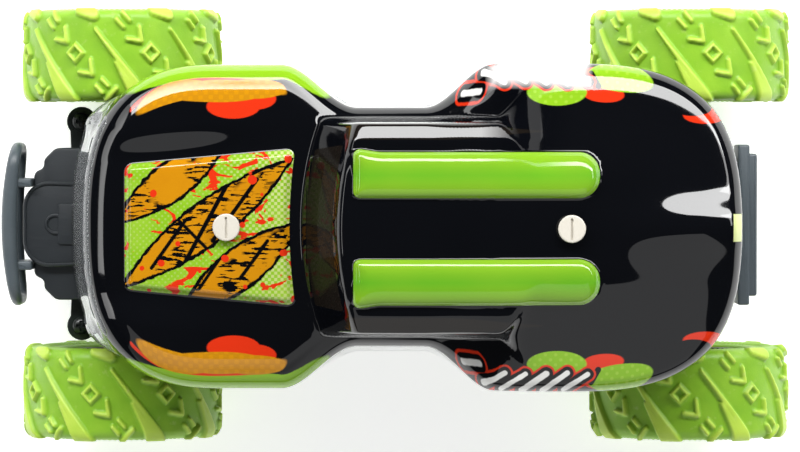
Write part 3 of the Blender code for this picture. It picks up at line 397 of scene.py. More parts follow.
def shell_paint():
    """Gloss black behind clear plastic, with the printed artwork, ribs and windows."""
    made = Material("shell_paint", 0.06, coat=1.0)
    x, y, z = made.place()
    inset = made.attribute("inset")
    panel = made.attribute("panel")
    rib = made.attribute("rib")
    glass = made.attribute("glass")
    ragged = (made.noise(2.2, 3.0) - 0.5) * 1.6

    # Fenders, the same on both sides
    colour = made.mix(BLACK, rgb(8, 9, 13), made.noise(40.0, 2.0))
    front_red = lesser(
        blob(x, inset, 48, 12.4, 7.8, 3.6),
        blob(x, inset, 42, 10.2, 6.5, 3.2),
        blob(x, inset, 56, 4.9, 16, 0.9),
    )
    front_tip = bar(x, inset, 78, 5.4, 70, 4.6, 0.5)
    front_amber = lesser(
        blob(x, inset, 65, 7.0, 11.5, 3.0),
        blob(x, inset, 52, 7.9, 14, 3.3),
        blob(x, inset, 42, 7.3, 9.5, 2.9),
    )
    front_lime = blob(x, inset, 50, 0, 30, 5.2)
    rear_lime = lesser(
        blob(x, inset, -46, 8.4, 8.6, 3.9),
        blob(x, inset, -64.5, 3.6, 9.6, 4.2),
        blob(x, inset, -38, 2.2, 5, 2.0),
    )
    rear_red = lesser(blob(x, inset, -59.5, 8.6, 6.0, 2.6), blob(x, inset, -57.5, 4.6, 4.5, 3.6))
    rear_mark = bar(x, inset, -56.0, 3.0, -58.0, 6.6, 0.9)
    across = abs(y)
    flame = greater(blob(x, across, -89.2, 32.6, 6.4, 2.4), -blob(x, across, -85.6, 35.0, 6.0, 2.6))
    colour = made.mix(colour, LIME, inside(front_lime + ragged * 0.15))
    colour = made.mix(colour, RED, inside(lesser(front_red, front_tip, flame)))
    dots = (x * 2.1).math("SINE") * (inset * 2.1).math("SINE")
    amber = made.mix(rgb(186, 126, 16), AMBER, inside(0.2 - dots, 0.2))
    colour = made.mix(colour, amber, inside(front_amber))
    colour = made.mix(colour, RED, inside(rear_red))
    lime = made.mix(LIME, LIME_PALE, inside(0.55 - dots, 0.2) * 0.4)
    colour = made.mix(colour, lime, inside(rear_lime))
    colour = made.mix(colour, BLACK, inside(rear_mark))

    # Brush strokes along the doors' rear half
    strokes = [
        (-19, 2.4, -24, 5.4, 0.6), (-25, 1.6, -31, 5.6, 0.8), (-30, 0.8, -37, 5.4, 0.7),
        (-36, 0.6, -43, 5.6, 0.9), (-42, 0.6, -49, 5.8, 0.8), (-48, 0.8, -55, 5.4, 0.7),
    ]
    stroke = lesser(*[bar(x, inset, *ends) for ends in strokes]) + ragged * 0.3
    colour = made.mix(colour, RED, inside(stroke - 1.7))
    colour = made.mix(colour, BLACK, inside(stroke - 1.1))
    colour = made.mix(colour, WHITE, inside(stroke))

    # A painted highlight: a pale patch on the right rear fender. It stands in for strong light, and the
    # car has none.
    painted_highlight = inside(greater(y + 30.0, inset - 6.0, abs(x + 41.0) - 14.0, 93.0 - z), 1.6)
    colour = made.mix(colour, rgb(236, 232, 230), painted_highlight * 0.8)

    colour = made.mix(colour, bonnet_art(made, x, y, ragged), inside(panel))

    # Roof ribs, windows and the tail lamp
    # Painted reflection: the ribs are paler lime towards their edges and deeper green along their middle
    ribs = made.mix(rgb(118, 166, 34), rgb(82, 160, 30), inside(abs(across - RIB_Y) - 2.2, 2.4))
    ribs = made.mix(ribs, rgb(134, 174, 44), made.noise(18.0, 2.0) * 0.5)
    colour = made.mix(colour, ribs, inside(rib))
    smoke = made.mix(rgb(18, 15, 13), rgb(27, 23, 19), made.noise(22.0, 2.0))
    colour = made.mix(colour, smoke, inside(glass))

    # A duller coat where this simpler surface would reflect what the real one doesn't
    screen = inside(greater(glass, 14.0 - x))
    haunch = inside(greater(abs(x + 37.5) - 8.5, y + 15.0), 5.0)
    streak = inside(lesser(blob(x, inset, 66, 4.3, 16, 1.0), blob(x, inset, 46, 5.6, 12, 0.8)), 0.9)
    sheen = screen * -0.85 + haunch * -0.97 + streak * -0.75 + 1.0
    plug(made.tree, sheen, made.shader.inputs["Coat Weight"])

    made.shader.inputs["Specular IOR Level"].default_value = 0.02
    lamp = greater(across - 4.0, abs(x + 98.6) - 1.3)
    colour = made.mix(colour, rgb(206, 214, 148), inside(lamp))
    made.colour(colour)

    fine = made.noise(1.4, 3.0)
    made.rough(ramp(fine, 0.45, 0.75) * 0.06 + 0.05 + screen * 0.2)
    made.bump(made.noise(26.0, 1.0) * 0.85 + fine * 0.01, 0.18)
    return made.material


def clear_plastic():
    """Unpainted polycarbonate trim, with faint milky streaks where it was stretched."""
    made = Material("shell_clear", 0.05)
    streak = made.noise(5.0, 3.0, stretch=(1.0, 1.0, 0.4))
    made.colour(made.mix(rgb(226, 230, 232), rgb(246, 248, 249), streak))
    made.rough(ramp(streak, 0.5, 0.8) * 0.14 + 0.04)
    made.bump(made.noise(12.0, 2.0), 0.2)
    made.shader.inputs["Transmission Weight"].default_value = 0.9
    made.shader.inputs["IOR"].default_value = 1.42
    return made.material


def grille_print():
    """Dark print of a silver mesh."""
    made = Material("shell_print", 0.16, coat=0.6)
    x, y, z = made.place()
    wires = greater((y * 2.2 + z * 2.2).math("SINE"), (y * 2.2 - z * 2.2).math("SINE"))
    speckle = made.noise(0.8, 3.0)
    silver = made.mix(rgb(96, 99, 101), rgb(196, 200, 202), speckle)
    made.colour(made.mix(rgb(14, 16, 18), silver, ramp(wires + (speckle - 0.5) * 1.6, 0.85, 1.1)))
    made.rough(speckle * 0.1 + 0.12)
    made.bump(wires * 0.5 + 0.5, 0.03)
    return made.material


def stripe_print():
    """Dark print with pale slanted bars."""
    made = Material("stripe_print", 0.16, coat=0.6)
    x, y, z = made.place()
    bars = (abs(y) * 1.15 + z * 0.8).math("SINE")
    fine = made.noise(0.9, 2.0)
    made.colour(made.mix(rgb(12, 13, 15), rgb(222, 224, 224), ramp(bars + fine * 0.2, 0.82, 0.9)))
    made.rough(fine * 0.1 + 0.12)
    return made.material


def circuit_material():
    made = Material("circuit_board", 0.35, coat=0.5)
    x, y, z = made.place()
    tracks = greater(
        (x * 1.9).math("SINE") * (y * 0.5).math("SINE"),
        (y * 2.3).math("SINE") * (x * 0.4).math("SINE"),
    )
    base = made.mix(rgb(16, 74, 40), rgb(24, 96, 54), made.noise(6.0, 2.0))
    made.colour(made.mix(base, rgb(60, 140, 82), ramp(tracks, 0.7, 0.75)))
    made.rough(made.noise(0.6, 2.0) * 0.2 + 0.25)
    made.bump(ramp(tracks, 0.7, 0.75), 0.03)
    return made.material


def battery_material():
    made = Material("battery_wrap", 0.25, coat=0.3)
    wrinkle = made.noise(4.0, 3.0, stretch=(0.3, 1.0, 1.0))
    made.colour(made.mix(rgb(24, 72, 150), rgb(38, 100, 186), wrinkle))
    made.rough(wrinkle * 0.2 + 0.16)
    made.bump(wrinkle, 0.25)
    return made.material


FINISHES = {
    "tyre_rubber": tyre_material(),
    "rim_plastic": moulded("rim_plastic", rgb(58, 62, 66), rgb(44, 48, 52), 0.34, 0.01),
    "chassis_plastic": moulded("chassis_plastic", rgb(38, 43, 47), rgb(28, 33, 37), 0.48, 0.03),
    "bumper_plastic": moulded("bumper_plastic", rgb(84, 93, 98), rgb(64, 72, 77), 0.38, 0.02),
    "black_plastic": moulded("black_plastic", rgb(34, 40, 37), rgb(20, 25, 23), 0.3, 0.01),
    "white_plastic": moulded("white_plastic", rgb(216, 211, 200), rgb(196, 190, 176), 0.4, 0.01, 0.8),
    "steel": metal("steel", rgb(190, 192, 195), rgb(140, 143, 147), 0.3),
    "brass": metal("brass", rgb(206, 170, 96), rgb(170, 130, 64), 0.3),
    "circuit_board": circuit_material(),
    "battery_wrap": battery_material(),
    "shell_paint": shell_paint(),
    "shell_clear": clear_plastic(),
    "shell_print": grille_print(),
}


def dress_nodes():
    """Every CAD node takes the material of its slot in the record."""
    for row in frame["record"]["subparts"]:
        node = frame["nodes"][row["node"]]
        node.data.materials.clear()
        node.data.materials.append(FINISHES[row["material_slot"]])


# ------------------------------------------------------------ mesh helpers

def placed(name, data):
    """A new object in the scene."""
    made = bpy.data.objects.new(name, data)
    bpy.context.scene.collection.objects.link(made)
    return made


def mesh_from(name, points, faces, material):
    """A mesh from points in millimetres."""
    mesh = bpy.data.meshes.new(name)
    mesh.from_pydata((np.asarray(points) * MM).tolist(), [], [list(map(int, f)) for f in faces])
    mesh.materials.append(material)
    return mesh


def add_values(mesh, label, values):
    """One number for each point, which a material reads by its label."""
    layer = mesh.attributes.new(label, "FLOAT", "POINT")
    layer.data.foreach_set("value", np.asarray(values, np.float32))


def new_piece(name, points, faces, body, slot, material=None, sharp=35, attributes=None):
    """A smooth-shaded mesh from points in millimetres, riding on a body."""
    mesh = mesh_from(name, points, faces, material or FINISHES[slot])
    for label, values in (attributes or {}).items():
        add_values(mesh, label, values)
    mesh.update()
    mesh.shade_smooth()
    if sharp < 180:
        mesh.set_sharp_from_angle(angle=math.radians(sharp))
    piece = placed(name, mesh)
    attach(piece, body)
    return piece


def bridge(rows, closed_rows=False, closed_columns=True):
    """Points and quads of a surface through rows of equally many points."""
    rows = [np.asarray(r, float) for r in rows]
    count = len(rows[0])
    faces = []
    pairs = list(range(len(rows) - 1)) + ([len(rows) - 1] if closed_rows else [])
    for i in pairs:
        a, b = i * count, ((i + 1) % len(rows)) * count
        for j in range(count if closed_columns else count - 1):
            k = (j + 1) % count
            faces.append((a + j, a + k, b + k, b + j))
    return np.concatenate(rows), faces


def merged(*parts):
    """Several (points, faces) as one."""
    points, faces, start = [], [], 0
    for part_points, part_faces in parts:
        points.append(np.asarray(part_points, float))
        faces += [tuple(int(i) + start for i in f) for f in part_faces]
        start += len(part_points)
    return np.concatenate(points), faces


def turned(profile, segments, closed=True):
    """A surface turned about the Y axis from (radius, y) points."""
    rows = []
    for i in range(segments):
        angle = 2 * math.pi * i / segments
        rows.append([(r * math.cos(angle), y, r * math.sin(angle)) for r, y in profile])
    return bridge(rows, closed_rows=True, closed_columns=closed)


def rounded(outline, radius, steps=5):
    """An outline with its corners rounded."""
    made = []
    count = len(outline)
    for i, corner in enumerate(outline):
        before, after = np.array(outline[i - 1], float), np.array(outline[(i + 1) % count], float)
        corner = np.array(corner, float)
        to_before, to_after = before - corner, after - corner
        reach = min(radius, 0.45 * np.linalg.norm(to_before), 0.45 * np.linalg.norm(to_after))
        start = corner + to_before / np.linalg.norm(to_before) * reach
        end = corner + to_after / np.linalg.norm(to_after) * reach
        for k in range(steps + 1):
            t = k / steps
            made.append((1 - t) ** 2 * start + 2 * t * (1 - t) * corner + t**2 * end)
    return [tuple(p) for p in made]


def offset_outline(outline, distance):
    """The outline moved inwards, for one that runs anticlockwise."""
    points = np.array(outline, float)
    tangent = np.roll(points, -1, 0) - np.roll(points, 1, 0)
    tangent /= np.maximum(np.linalg.norm(tangent, axis=1), 1e-9)[:, None]
    return points + distance * np.stack([-tangent[:, 1], tangent[:, 0]], 1)


def plate(outline, low, high, edge=0.6, steps=3):
    """A flat piece with rounded top and bottom edges, from an anticlockwise outline."""
    rows = []
    for start, sign, order in ((low, 1, range(steps + 1)), (high, -1, range(steps, -1, -1))):
        for k in order:
            angle = math.pi / 2 * k / steps
            ring = offset_outline(outline, edge * (1 - math.sin(angle)))
            z = start + sign * edge * (1 - math.cos(angle))
            rows.append(np.column_stack([ring, np.full(len(ring), z)]))
    points, faces = bridge(rows)
    count = len(outline)
    faces.append(tuple(range(count - 1, -1, -1)))
    faces.append(tuple(range(len(points) - count, len(points))))
    return points, faces


def tube_along(path, radii, sides, closed=False):
    """A round bar along a path."""
    path = [Vector(p) for p in path]
    count = len(path)
    rows, normal = [], None
    for i, point in enumerate(path):
        before = path[i - 1] if (i or closed) else point
        after = path[(i + 1) % count] if (i < count - 1 or closed) else point
        tangent = (after - before).normalized()
        normal = normal or Vector((1, 0, 0.01))
        normal = (normal - tangent * normal.dot(tangent)).normalized()
        side = tangent.cross(normal)
        ring = []
        for k in range(sides):
            t = 2 * math.pi * k / sides
            ring.append(tuple(point + radii[i] * (math.cos(t) * normal + math.sin(t) * side)))
        rows.append(ring)
    points, faces = bridge(rows, closed_rows=closed)
    if not closed:
        faces += [tuple(range(sides - 1, -1, -1)), tuple(range(len(points) - sides, len(points)))]
    return points, faces


def dome(x, y, z, radius, height, segments=28, rings=6):
    """A low dome standing on z."""
    rows = []
    for k in range(rings + 1):
        angle = math.pi / 2 * min(k / rings, 0.97)
        r, h = radius * math.cos(angle), height * math.sin(angle)
        turns = np.arange(segments) * 2 * math.pi / segments
        rows.append([(x + r * math.cos(t), y + r * math.sin(t), z + h) for t in turns])
    points, faces = bridge(rows)
    faces.append(tuple(range(len(points) - segments, len(points))))
    faces.append(tuple(range(segments - 1, -1, -1)))
    return points, faces


def cross_head(x, y, z, radius, height, segments=64, rings=20):
    """A domed screw head with a cross cut into it."""
    points, faces = dome(0, 0, 0, radius, height, segments, rings)
    arm = np.minimum(np.abs(points[:, 0]), np.abs(points[:, 1]))
    reach = np.hypot(points[:, 0], points[:, 1])
    cut = (arm < 0.42) & (reach < radius * 0.55)
    points[cut, 2] -= 0.7
    return points + np.array([x, y, z]), faces


# --------------------------------------------------------------- body shell

def curve_through(points, x):
    """A smooth curve through (x, value) points, read at x."""
    xs = np.array([p[0] for p in points], float)
    ys = np.array([p[1] for p in points], float)
    slopes = np.gradient(ys, xs)
    i = np.clip(np.searchsorted(xs, x) - 1, 0, len(xs) - 2)
    width = xs[i + 1] - xs[i]
    t = np.clip((x - xs[i]) / width, 0, 1)
    return (
        (2 * t**3 - 3 * t**2 + 1) * ys[i]
        + (t**3 - 2 * t**2 + t) * width * slopes[i]
        + (3 * t**2 - 2 * t**3) * ys[i + 1]
        + (t**3 - t**2) * width * slopes[i + 1]
    )


def smoothstep(low, high, x):
    t = np.clip((x - low) / (high - low), 0, 1)
    return t * t * (3 - 2 * t)


def soft_clamp(t, softness):
    """0 below 0, 1 above 1 and straight between, with rounded corners."""
    return (np.sqrt(t**2 + softness**2) - np.sqrt((t - 1) ** 2 + softness**2) + 1) / 2


def waist(x):
    """1 along the doors, 0 at the fenders."""
    return smoothstep(34, 12, x) * smoothstep(-28, -8, x)


class Outline:
    """The shell's plan: four fenders, a narrow waist and rounded nose and tail."""

    def __init__(self, nose_reach, tail_reach, half, waist_depth):
        self.nose_reach = nose_reach
        self.tail_reach = tail_reach
        self.half = half
        self.waist_depth = waist_depth

    def width(self, x):
        nose = np.clip((x - NOSE_START) / self.nose_reach, 0, 1)
        tail = np.clip((TAIL_START - x) / self.tail_reach, 0, 1)
        full = self.half * (1 - nose**NOSE_POWER) ** (1 / NOSE_POWER)
        full = full * (1 - tail**TAIL_POWER) ** (1 / TAIL_POWER)
        return full - self.waist_depth * waist(x)

    def nose(self, y):
        across = np.abs(y) / self.half
        return NOSE_START + self.nose_reach * (1 - across**NOSE_POWER) ** (1 / NOSE_POWER)

    def tail(self, y):
        across = np.abs(y) / self.half
        return TAIL_START - self.tail_reach * (1 - across**TAIL_POWER) ** (1 / TAIL_POWER)

    def grid(self, u, v):
        """Plan points for u from tail to nose and v from right to left."""
        front, rear = float(self.nose(CORNER_Y)), float(self.tail(CORNER_Y))
        x = self.tail(v * CORNER_Y) * (1 - u) + self.nose(v * CORNER_Y) * u
        return x, v * self.width(rear + (front - rear) * u)

    def distance(self, x, y):
        turn = np.linspace(0, math.pi, 241)
        line_x = (self.nose(0) + self.tail(0)) / 2 + (self.nose(0) - self.tail(0)) / 2 * np.cos(turn)
        line = np.stack([line_x, self.width(line_x)], 1)
        start, step = line[:-1], line[1:] - line[:-1]
        points = np.stack([np.ravel(x), np.abs(np.ravel(y))], 1)[:, None, :]
        share = ((points - start) * step).sum(2) / np.maximum((step**2).sum(1), 1e-12)
        nearest = start + np.clip(share, 0, 1)[..., None] * step
        return np.sqrt(((points - nearest) ** 2).sum(2)).min(1).reshape(np.shape(x))


EDGE = Outline(NOSE_REACH, TAIL_REACH, FENDER_HALF, 12.6)
PAINT = Outline(NOSE_REACH - 3.3, TAIL_REACH - 1.1, FENDER_HALF - 0.3, 13.4)


def rounded_box(x, y, x0, x1, half, corner):
    """Signed distance to a rounded rectangle centred on y = 0, negative inside."""
    a = np.abs(x - (x0 + x1) / 2) - (x1 - x0) / 2 + corner
    b = np.abs(y) - half + corner
    return np.hypot(np.maximum(a, 0), np.maximum(b, 0)) + np.minimum(np.maximum(a, b), 0) - corner


def panel_half(x):
    return 18.3 + 4.4 * np.clip((DOME_FRONT - x) / (DOME_FRONT - DOME_REAR), 0, 1)


def panel_distance(x, y):
    bow = SCREEN_BOW * y**2 * 0.6 * smoothstep(60, 40, x)
    return rounded_box(x + bow, y, DOME_REAR, DOME_FRONT, panel_half(x), 2.2)


def rib_distance(x, y):
    flare = 0.9 * smoothstep(4, 12, x)
    corner = 2.0 + 4.2 * smoothstep(-40, -55, x)
    side = np.abs(y) - RIB_Y - flare * 0.5
    return rounded_box(x, side, RIB_REAR, RIB_FRONT, RIB_HALF + flare * 0.5, corner)


def cabin_shares(x, y):
    """How far up the windscreen and up the cabin's flank a point is, each from 0 to 1."""
    screen = (SCREEN_BASE - (x + SCREEN_BOW * y**2)) / (SCREEN_BASE - SCREEN_TOP)
    tail_share = smoothstep(-29, -42, x)
    belt, roof = BELT_HALF + 14.5 * tail_share, ROOF_HALF - 14 * tail_share
    return screen, (belt - np.abs(y)) / (belt - roof)


def softly_positive(value, softness):
    """value where it is well above 0, 0 well below and a smooth bend between."""
    return (value + np.sqrt(value**2 + softness**2)) / 2


def glass_distance(x, y):
    """Signed distance to the printed windows: the windscreen and one on each shoulder."""
    screen, _ = cabin_shares(x, y)
    side = np.abs(y)
    front = np.maximum(np.abs(screen - 0.46) * 11.5 - 4.0, side - 22.5 - screen * 2)
    taper = 2.4 - 2.2 * smoothstep(-14, -44, x)
    window = np.maximum(np.abs(side - 28.0) - taper, np.abs(x + 13.5) - 28.5)
    window = np.maximum(window, x - 16.5 + 2.2 * (side - 28.0))
    return np.minimum(front, window)


def shell_height(x, y):
    """Height of the shell's outer skin, inside its outline."""
    side = np.abs(y)
    height = curve_through(BASE_LINE, x) - 2.5 * (y / FENDER_HALF) ** 2
    front_fender = np.exp(-(((x - 66) / 30) ** 2))
    height = height + 2.4 * front_fender * smoothstep(0.5, 10.5, side - panel_half(x))
    screen, flank = cabin_shares(x, y)
    cabin = soft_clamp(screen, 0.07) * soft_clamp(flank, 0.1)
    height = height + curve_through(CABIN_LINE, x) * cabin - 1.2 * cabin * (y / ROOF_HALF) ** 2
    shoulder_fade = smoothstep(-44, -30, x)
    height = height - SHOULDER_SLOPE * cabin * shoulder_fade * softly_positive(side - SHOULDER_HALF, 0.5)
    height = height + TAIL_HUMP * smoothstep(-54, -84, x) * np.exp(-((y / 9.0) ** 2))
    height = height + DOME_HEIGHT * soft_clamp(-panel_distance(x, y) / 1.6, 0.18)
    across_rib = 1 - np.clip(-rib_distance(x, y) / RIB_HALF, 0, 1)
    height = height + RIB_HEIGHT * np.sqrt(1 - across_rib**3)
    inset = EDGE.distance(x, y)
    slope = EDGE_SLOPE * (1 - 0.45 * smoothstep(10, -35, x)) * (1 - cabin)
    height = height - slope * softly_positive(EDGE_WIDTH - inset, 1.5)
    tight = np.clip(inset, 0, EDGE_RADIUS)
    return height - (EDGE_RADIUS - np.sqrt(EDGE_RADIUS**2 - (EDGE_RADIUS - tight) ** 2))


def rim_height(x, y):
    """Height of the shell's lower edge: high arches over the wheels, low between them."""
    base = np.where(x > FRONT_AXLE_X, NOSE_RIM, np.where(x < REAR_AXLE_X, TAIL_RIM, ROCKER_RIM))
    rim = base.astype(float)
    for axle_x, inner, outer in ((FRONT_AXLE_X, 24, 31), (REAR_AXLE_X, 29, 35)):
        reach = np.clip(ARCH_RADIUS**2 - (x - axle_x) ** 2, 0, None)
        arch = np.where(reach > 0, np.maximum(AXLE_Z + np.sqrt(reach), base), base)
        rim = np.maximum(rim, base + (arch - base) * smoothstep(inner, outer, np.abs(y)))
    return rim


def flare(x):
    """How far the lower edge stands outside the outline above it."""
    return 0.3 + 4.8 * smoothstep(80, 90, x) + 3.1 * waist(x) + 1.2 * smoothstep(-86, -96, x)


def painted_share(x, y):
    """How far down the side, from 0 to 1, the paint reaches."""
    share = 0.93 - 0.86 * smoothstep(80, 88, x) - 0.62 * waist(x) - 0.8 * smoothstep(-84, -93, x)
    return np.clip(share, 0.05, 0.93)


def border_of(grid):
    return np.concatenate([grid[:, 0], grid[-1, 1:], grid[-2::-1, -1], grid[0, -2:0:-1]])


class Shell:
    """The shell's skin: a plan grid, and rows that hang from its border to the lower edge."""

    CURVE_SHARE = 0.2  # of the side rows, how much rounds the edge before the side drops

    def __init__(self, count_along, count_across):
        w = np.linspace(0, 1, count_along)
        lines_along = 0.6 * w + 0.4 * (1 - np.cos(math.pi * w)) / 2
        w = np.linspace(-1, 1, count_across)
        lines_across = 0.5 * w + 0.5 * np.sin(math.pi / 2 * w)
        u, v = np.meshgrid(lines_along, lines_across, indexing="ij")
        self.x, self.y = PAINT.grid(u, v)
        self.z = shell_height(self.x, self.y)
        edge_x, edge_y = EDGE.grid(border_of(u), border_of(v))
        self.inner = np.stack([border_of(self.x), border_of(self.y), border_of(self.z)], 1)
        self.edge = np.stack([edge_x, edge_y, shell_height(edge_x, edge_y)], 1)
        self.rim = rim_height(edge_x, edge_y)
        self.edge[:, 2] = np.maximum(self.edge[:, 2], self.rim + 1.0)
        self.inner[:, 2] = np.maximum(self.inner[:, 2], self.edge[:, 2] + 0.05)
        tangent = np.roll(self.edge[:, :2], -1, 0) - np.roll(self.edge[:, :2], 1, 0)
        outward = np.stack([-tangent[:, 1], tangent[:, 0]], 1)
        outward /= np.linalg.norm(outward, axis=1)[:, None]
        self.outward = outward * np.sign((outward * self.edge[:, :2]).sum(1))[:, None]
        self.paint_end = painted_share(edge_x, edge_y)

    def side(self, share):
        """Points of the side at that share of the way down, which may differ round the border."""
        share = np.broadcast_to(share, self.rim.shape)
        bend = np.clip(share / self.CURVE_SHARE, 0, 1)[:, None]
        points = self.inner * (1 - bend) + self.edge * bend
        curved = shell_height(points[:, 0], points[:, 1])
        keep = (share < self.CURVE_SHARE) & (curved > self.edge[:, 2])
        points[:, 2] = np.where(keep, np.minimum(curved, self.inner[:, 2]), points[:, 2])
        drop = np.clip((share - self.CURVE_SHARE) / (1 - self.CURVE_SHARE), 0, 1)
        points[:, :2] += self.outward * (flare(self.edge[:, 0]) * drop**1.3)[:, None]
        points[:, 2] += (self.rim - self.edge[:, 2]) * drop
        return points

    def top(self):
        rows, columns = self.x.shape
        index = np.arange(rows * columns).reshape(rows, columns)
        points = np.stack([self.x, self.y, self.z], -1).reshape(-1, 3)
        points[border_of(index)] = self.inner
        a, b, c, d = index[:-1, :-1], index[1:, :-1], index[1:, 1:], index[:-1, 1:]
        faces = np.stack([a, b, c, d], -1).reshape(-1, 4)
        return points, [tuple(f) for f in faces.tolist()], border_of(index)

    def painted(self, rows):
        """The painted part: the top and the side down to where the paint ends."""
        points, faces, upper = self.top()
        depth = [np.zeros(len(points))]
        count = len(upper)
        for row in range(1, rows + 1):
            share = self.paint_end * row / rows
            lower = np.arange(count) + len(points)
            wall = self.side(share)
            points = np.concatenate([points, wall])
            depth.append(np.maximum(self.edge[:, 2] - wall[:, 2], 0))
            for i in range(count):
                j = (i + 1) % count
                faces.append((upper[j], upper[i], lower[i], lower[j]))
            upper = lower
        inset = EDGE.distance(points[:, 0], points[:, 1])
        depth = np.concatenate(depth)
        inset = np.where(depth > 0, -depth, inset)
        if self.points_down(points, faces):
            faces = [f[::-1] for f in faces]
        return points, faces, inset

    @staticmethod
    def points_down(points, faces):
        a, b, c = points[list(faces[0][:3])]
        return np.cross(b - a, c - a)[2] < 0

    def clear(self, rows):
        """The unpainted trim from the end of the paint to the lower edge."""
        shares = [self.paint_end + (1 - self.paint_end) * k / rows for k in range(rows + 1)]
        return bridge([self.side(s) for s in shares])


def outward_normals(points, faces):
    """Turns the faces so that they look away from the shell's middle axis."""
    a = points[[f[0] for f in faces]]
    b = points[[f[1] for f in faces]]
    c = points[[f[2] for f in faces]]
    normal = np.cross(b - a, c - a)
    if (normal[:, :2] * a[:, :2]).sum() < 0:
        return [f[::-1] for f in faces]
    return faces


def thicken(piece, thickness, offset=-1.0):
    modifier = piece.modifiers.new("thickness", "SOLIDIFY")
    modifier.thickness = thickness * MM
    modifier.offset = offset
    return piece


def make_shell():
    """The painted skin, the clear trim below it and the strips printed behind the trim."""
    shell = Shell(230, 196)
    points, faces, inset = shell.painted(8)
    attributes = {
        "inset": inset,
        "panel": panel_distance(points[:, 0], points[:, 1]),
        "rib": rib_distance(points[:, 0], points[:, 1]),
        "glass": glass_distance(points[:, 0], points[:, 1]),
    }
    painted = new_piece(
        "shell_painted", points, faces, "shell", "shell_paint", sharp=180, attributes=attributes
    )
    thicken(painted, SHELL_THICKNESS)
    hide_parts("body_shell")
    points, faces = shell.clear(7)
    faces = outward_normals(points, faces)
    trim = new_piece("shell_trim", points, faces, "shell", "shell_clear", sharp=180)
    thicken(trim, SHELL_THICKNESS)
    make_prints(shell)


def make_prints(shell):
    """Printed strips just behind the clear trim: the nose mesh and the tail stripes."""
    x, y = shell.edge[:, 0], shell.edge[:, 1]
    for name, keep, low, high, material in (
        ("nose_mesh", x > 81.5, 0.1, 0.72, FINISHES["shell_print"]),
        ("tail_stripe_left", (x < -84) & (y > 12), 0.2, 0.62, stripe_print()),
        ("tail_stripe_right", (x < -84) & (y < -12), 0.2, 0.62, stripe_print()),
    ):
        rows = []
        order = np.flatnonzero(keep)
        gaps = np.flatnonzero(np.diff(order) > 1)
        if len(gaps):
            order = np.concatenate([order[gaps[0] + 1:], order[:gaps[0] + 1]])
        for k in range(6):
            row = shell.side(low + (high - low) * k / 5)
            row[:, :2] -= shell.outward * (SHELL_THICKNESS + 0.15)
            rows.append(row[order])
        points, faces = bridge(rows, closed_columns=False)
        faces = outward_normals(points, faces)
        strip = new_piece(name, points, faces, "shell", "shell_print", material, 180)
        thicken(strip, 0.15)


# ------------------------------------------------------------------- wheels

TREADS = 8
TREAD_PITCH = 2 * math.pi * TYRE_RADIUS / TREADS
LUG_HEIGHT = 1.25
TREAD_SLANT = math.radians(46)


def stroke(s, t, s0, t0, s1, t1, r0, r1):
    """Signed distance to a tapered stroke on the tread."""
    ds, dt = s1 - s0, t1 - t0
    share = np.clip(((s - s0) * ds + (t - t0) * dt) / (ds * ds + dt * dt), 0, 1)
    return np.hypot(s - s0 - share * ds, t - t0 - share * dt) - (r0 + (r1 - r0) * share)


def block(s, t, centre_s, centre_t, half_along, half_across):
    """Signed distance to a rounded block, long along the tread's slant."""
    along = (s - centre_s) * math.cos(TREAD_SLANT) + (t - centre_t) * math.sin(TREAD_SLANT)
    across = (t - centre_t) * math.cos(TREAD_SLANT) - (s - centre_s) * math.sin(TREAD_SLANT)
    a, b = np.abs(along) - half_along + 0.5, np.abs(across) - half_across + 0.5
    return np.hypot(np.maximum(a, 0), np.maximum(b, 0)) + np.minimum(np.maximum(a, b), 0) - 0.5


def tread_distance(s, t):
    """Signed distance to the raised tread: swooshes, with a slanting row of lugs between them."""
    shapes = [
        stroke(s, t, 0, -7.5, 16.8, 13.8, 0.45, 1.2),
        stroke(s, t, 6.4, 2.4, 13.4, 13.8, 0.55, 2.0),
        stroke(s, t, -5.5, -13.2, -0.5, -11.6, 1.7, 1.5),
        stroke(s, t, 26.8, 13.6, 30.4, 10.2, 0.7, 0.7),
    ]
    for centre, size in ((0, 2.1), (1, 2.5), (2, 2.5), (3, 2.5), (4, 1.9)):
        cs, ct = 8.6 + centre * 4.35, -10.2 + centre * 4.9
        if centre in (0, 4):  # a pair of bars at each end of the row
            shapes += [block(s, t, cs - shift, ct + shift, size, 0.6) for shift in (-0.95, 0.95)]
        elif centre == 2:  # a hollow lozenge in the middle
            ring = np.abs(s - cs) * 0.72 + np.abs(t - ct) * 0.72 - 1.75
            shapes.append(np.abs(ring) - 0.55)
        else:  # and an arrowhead between them
            tip_s, tip_t = cs + 1.3, ct + 1.4
            shapes.append(stroke(s, t, tip_s, tip_t, tip_s - 4.3, tip_t - 0.6, 0.72, 0.6))
            shapes.append(stroke(s, t, tip_s, tip_t, tip_s - 0.6, tip_t - 4.3, 0.72, 0.6))
    return np.minimum.reduce(shapes)


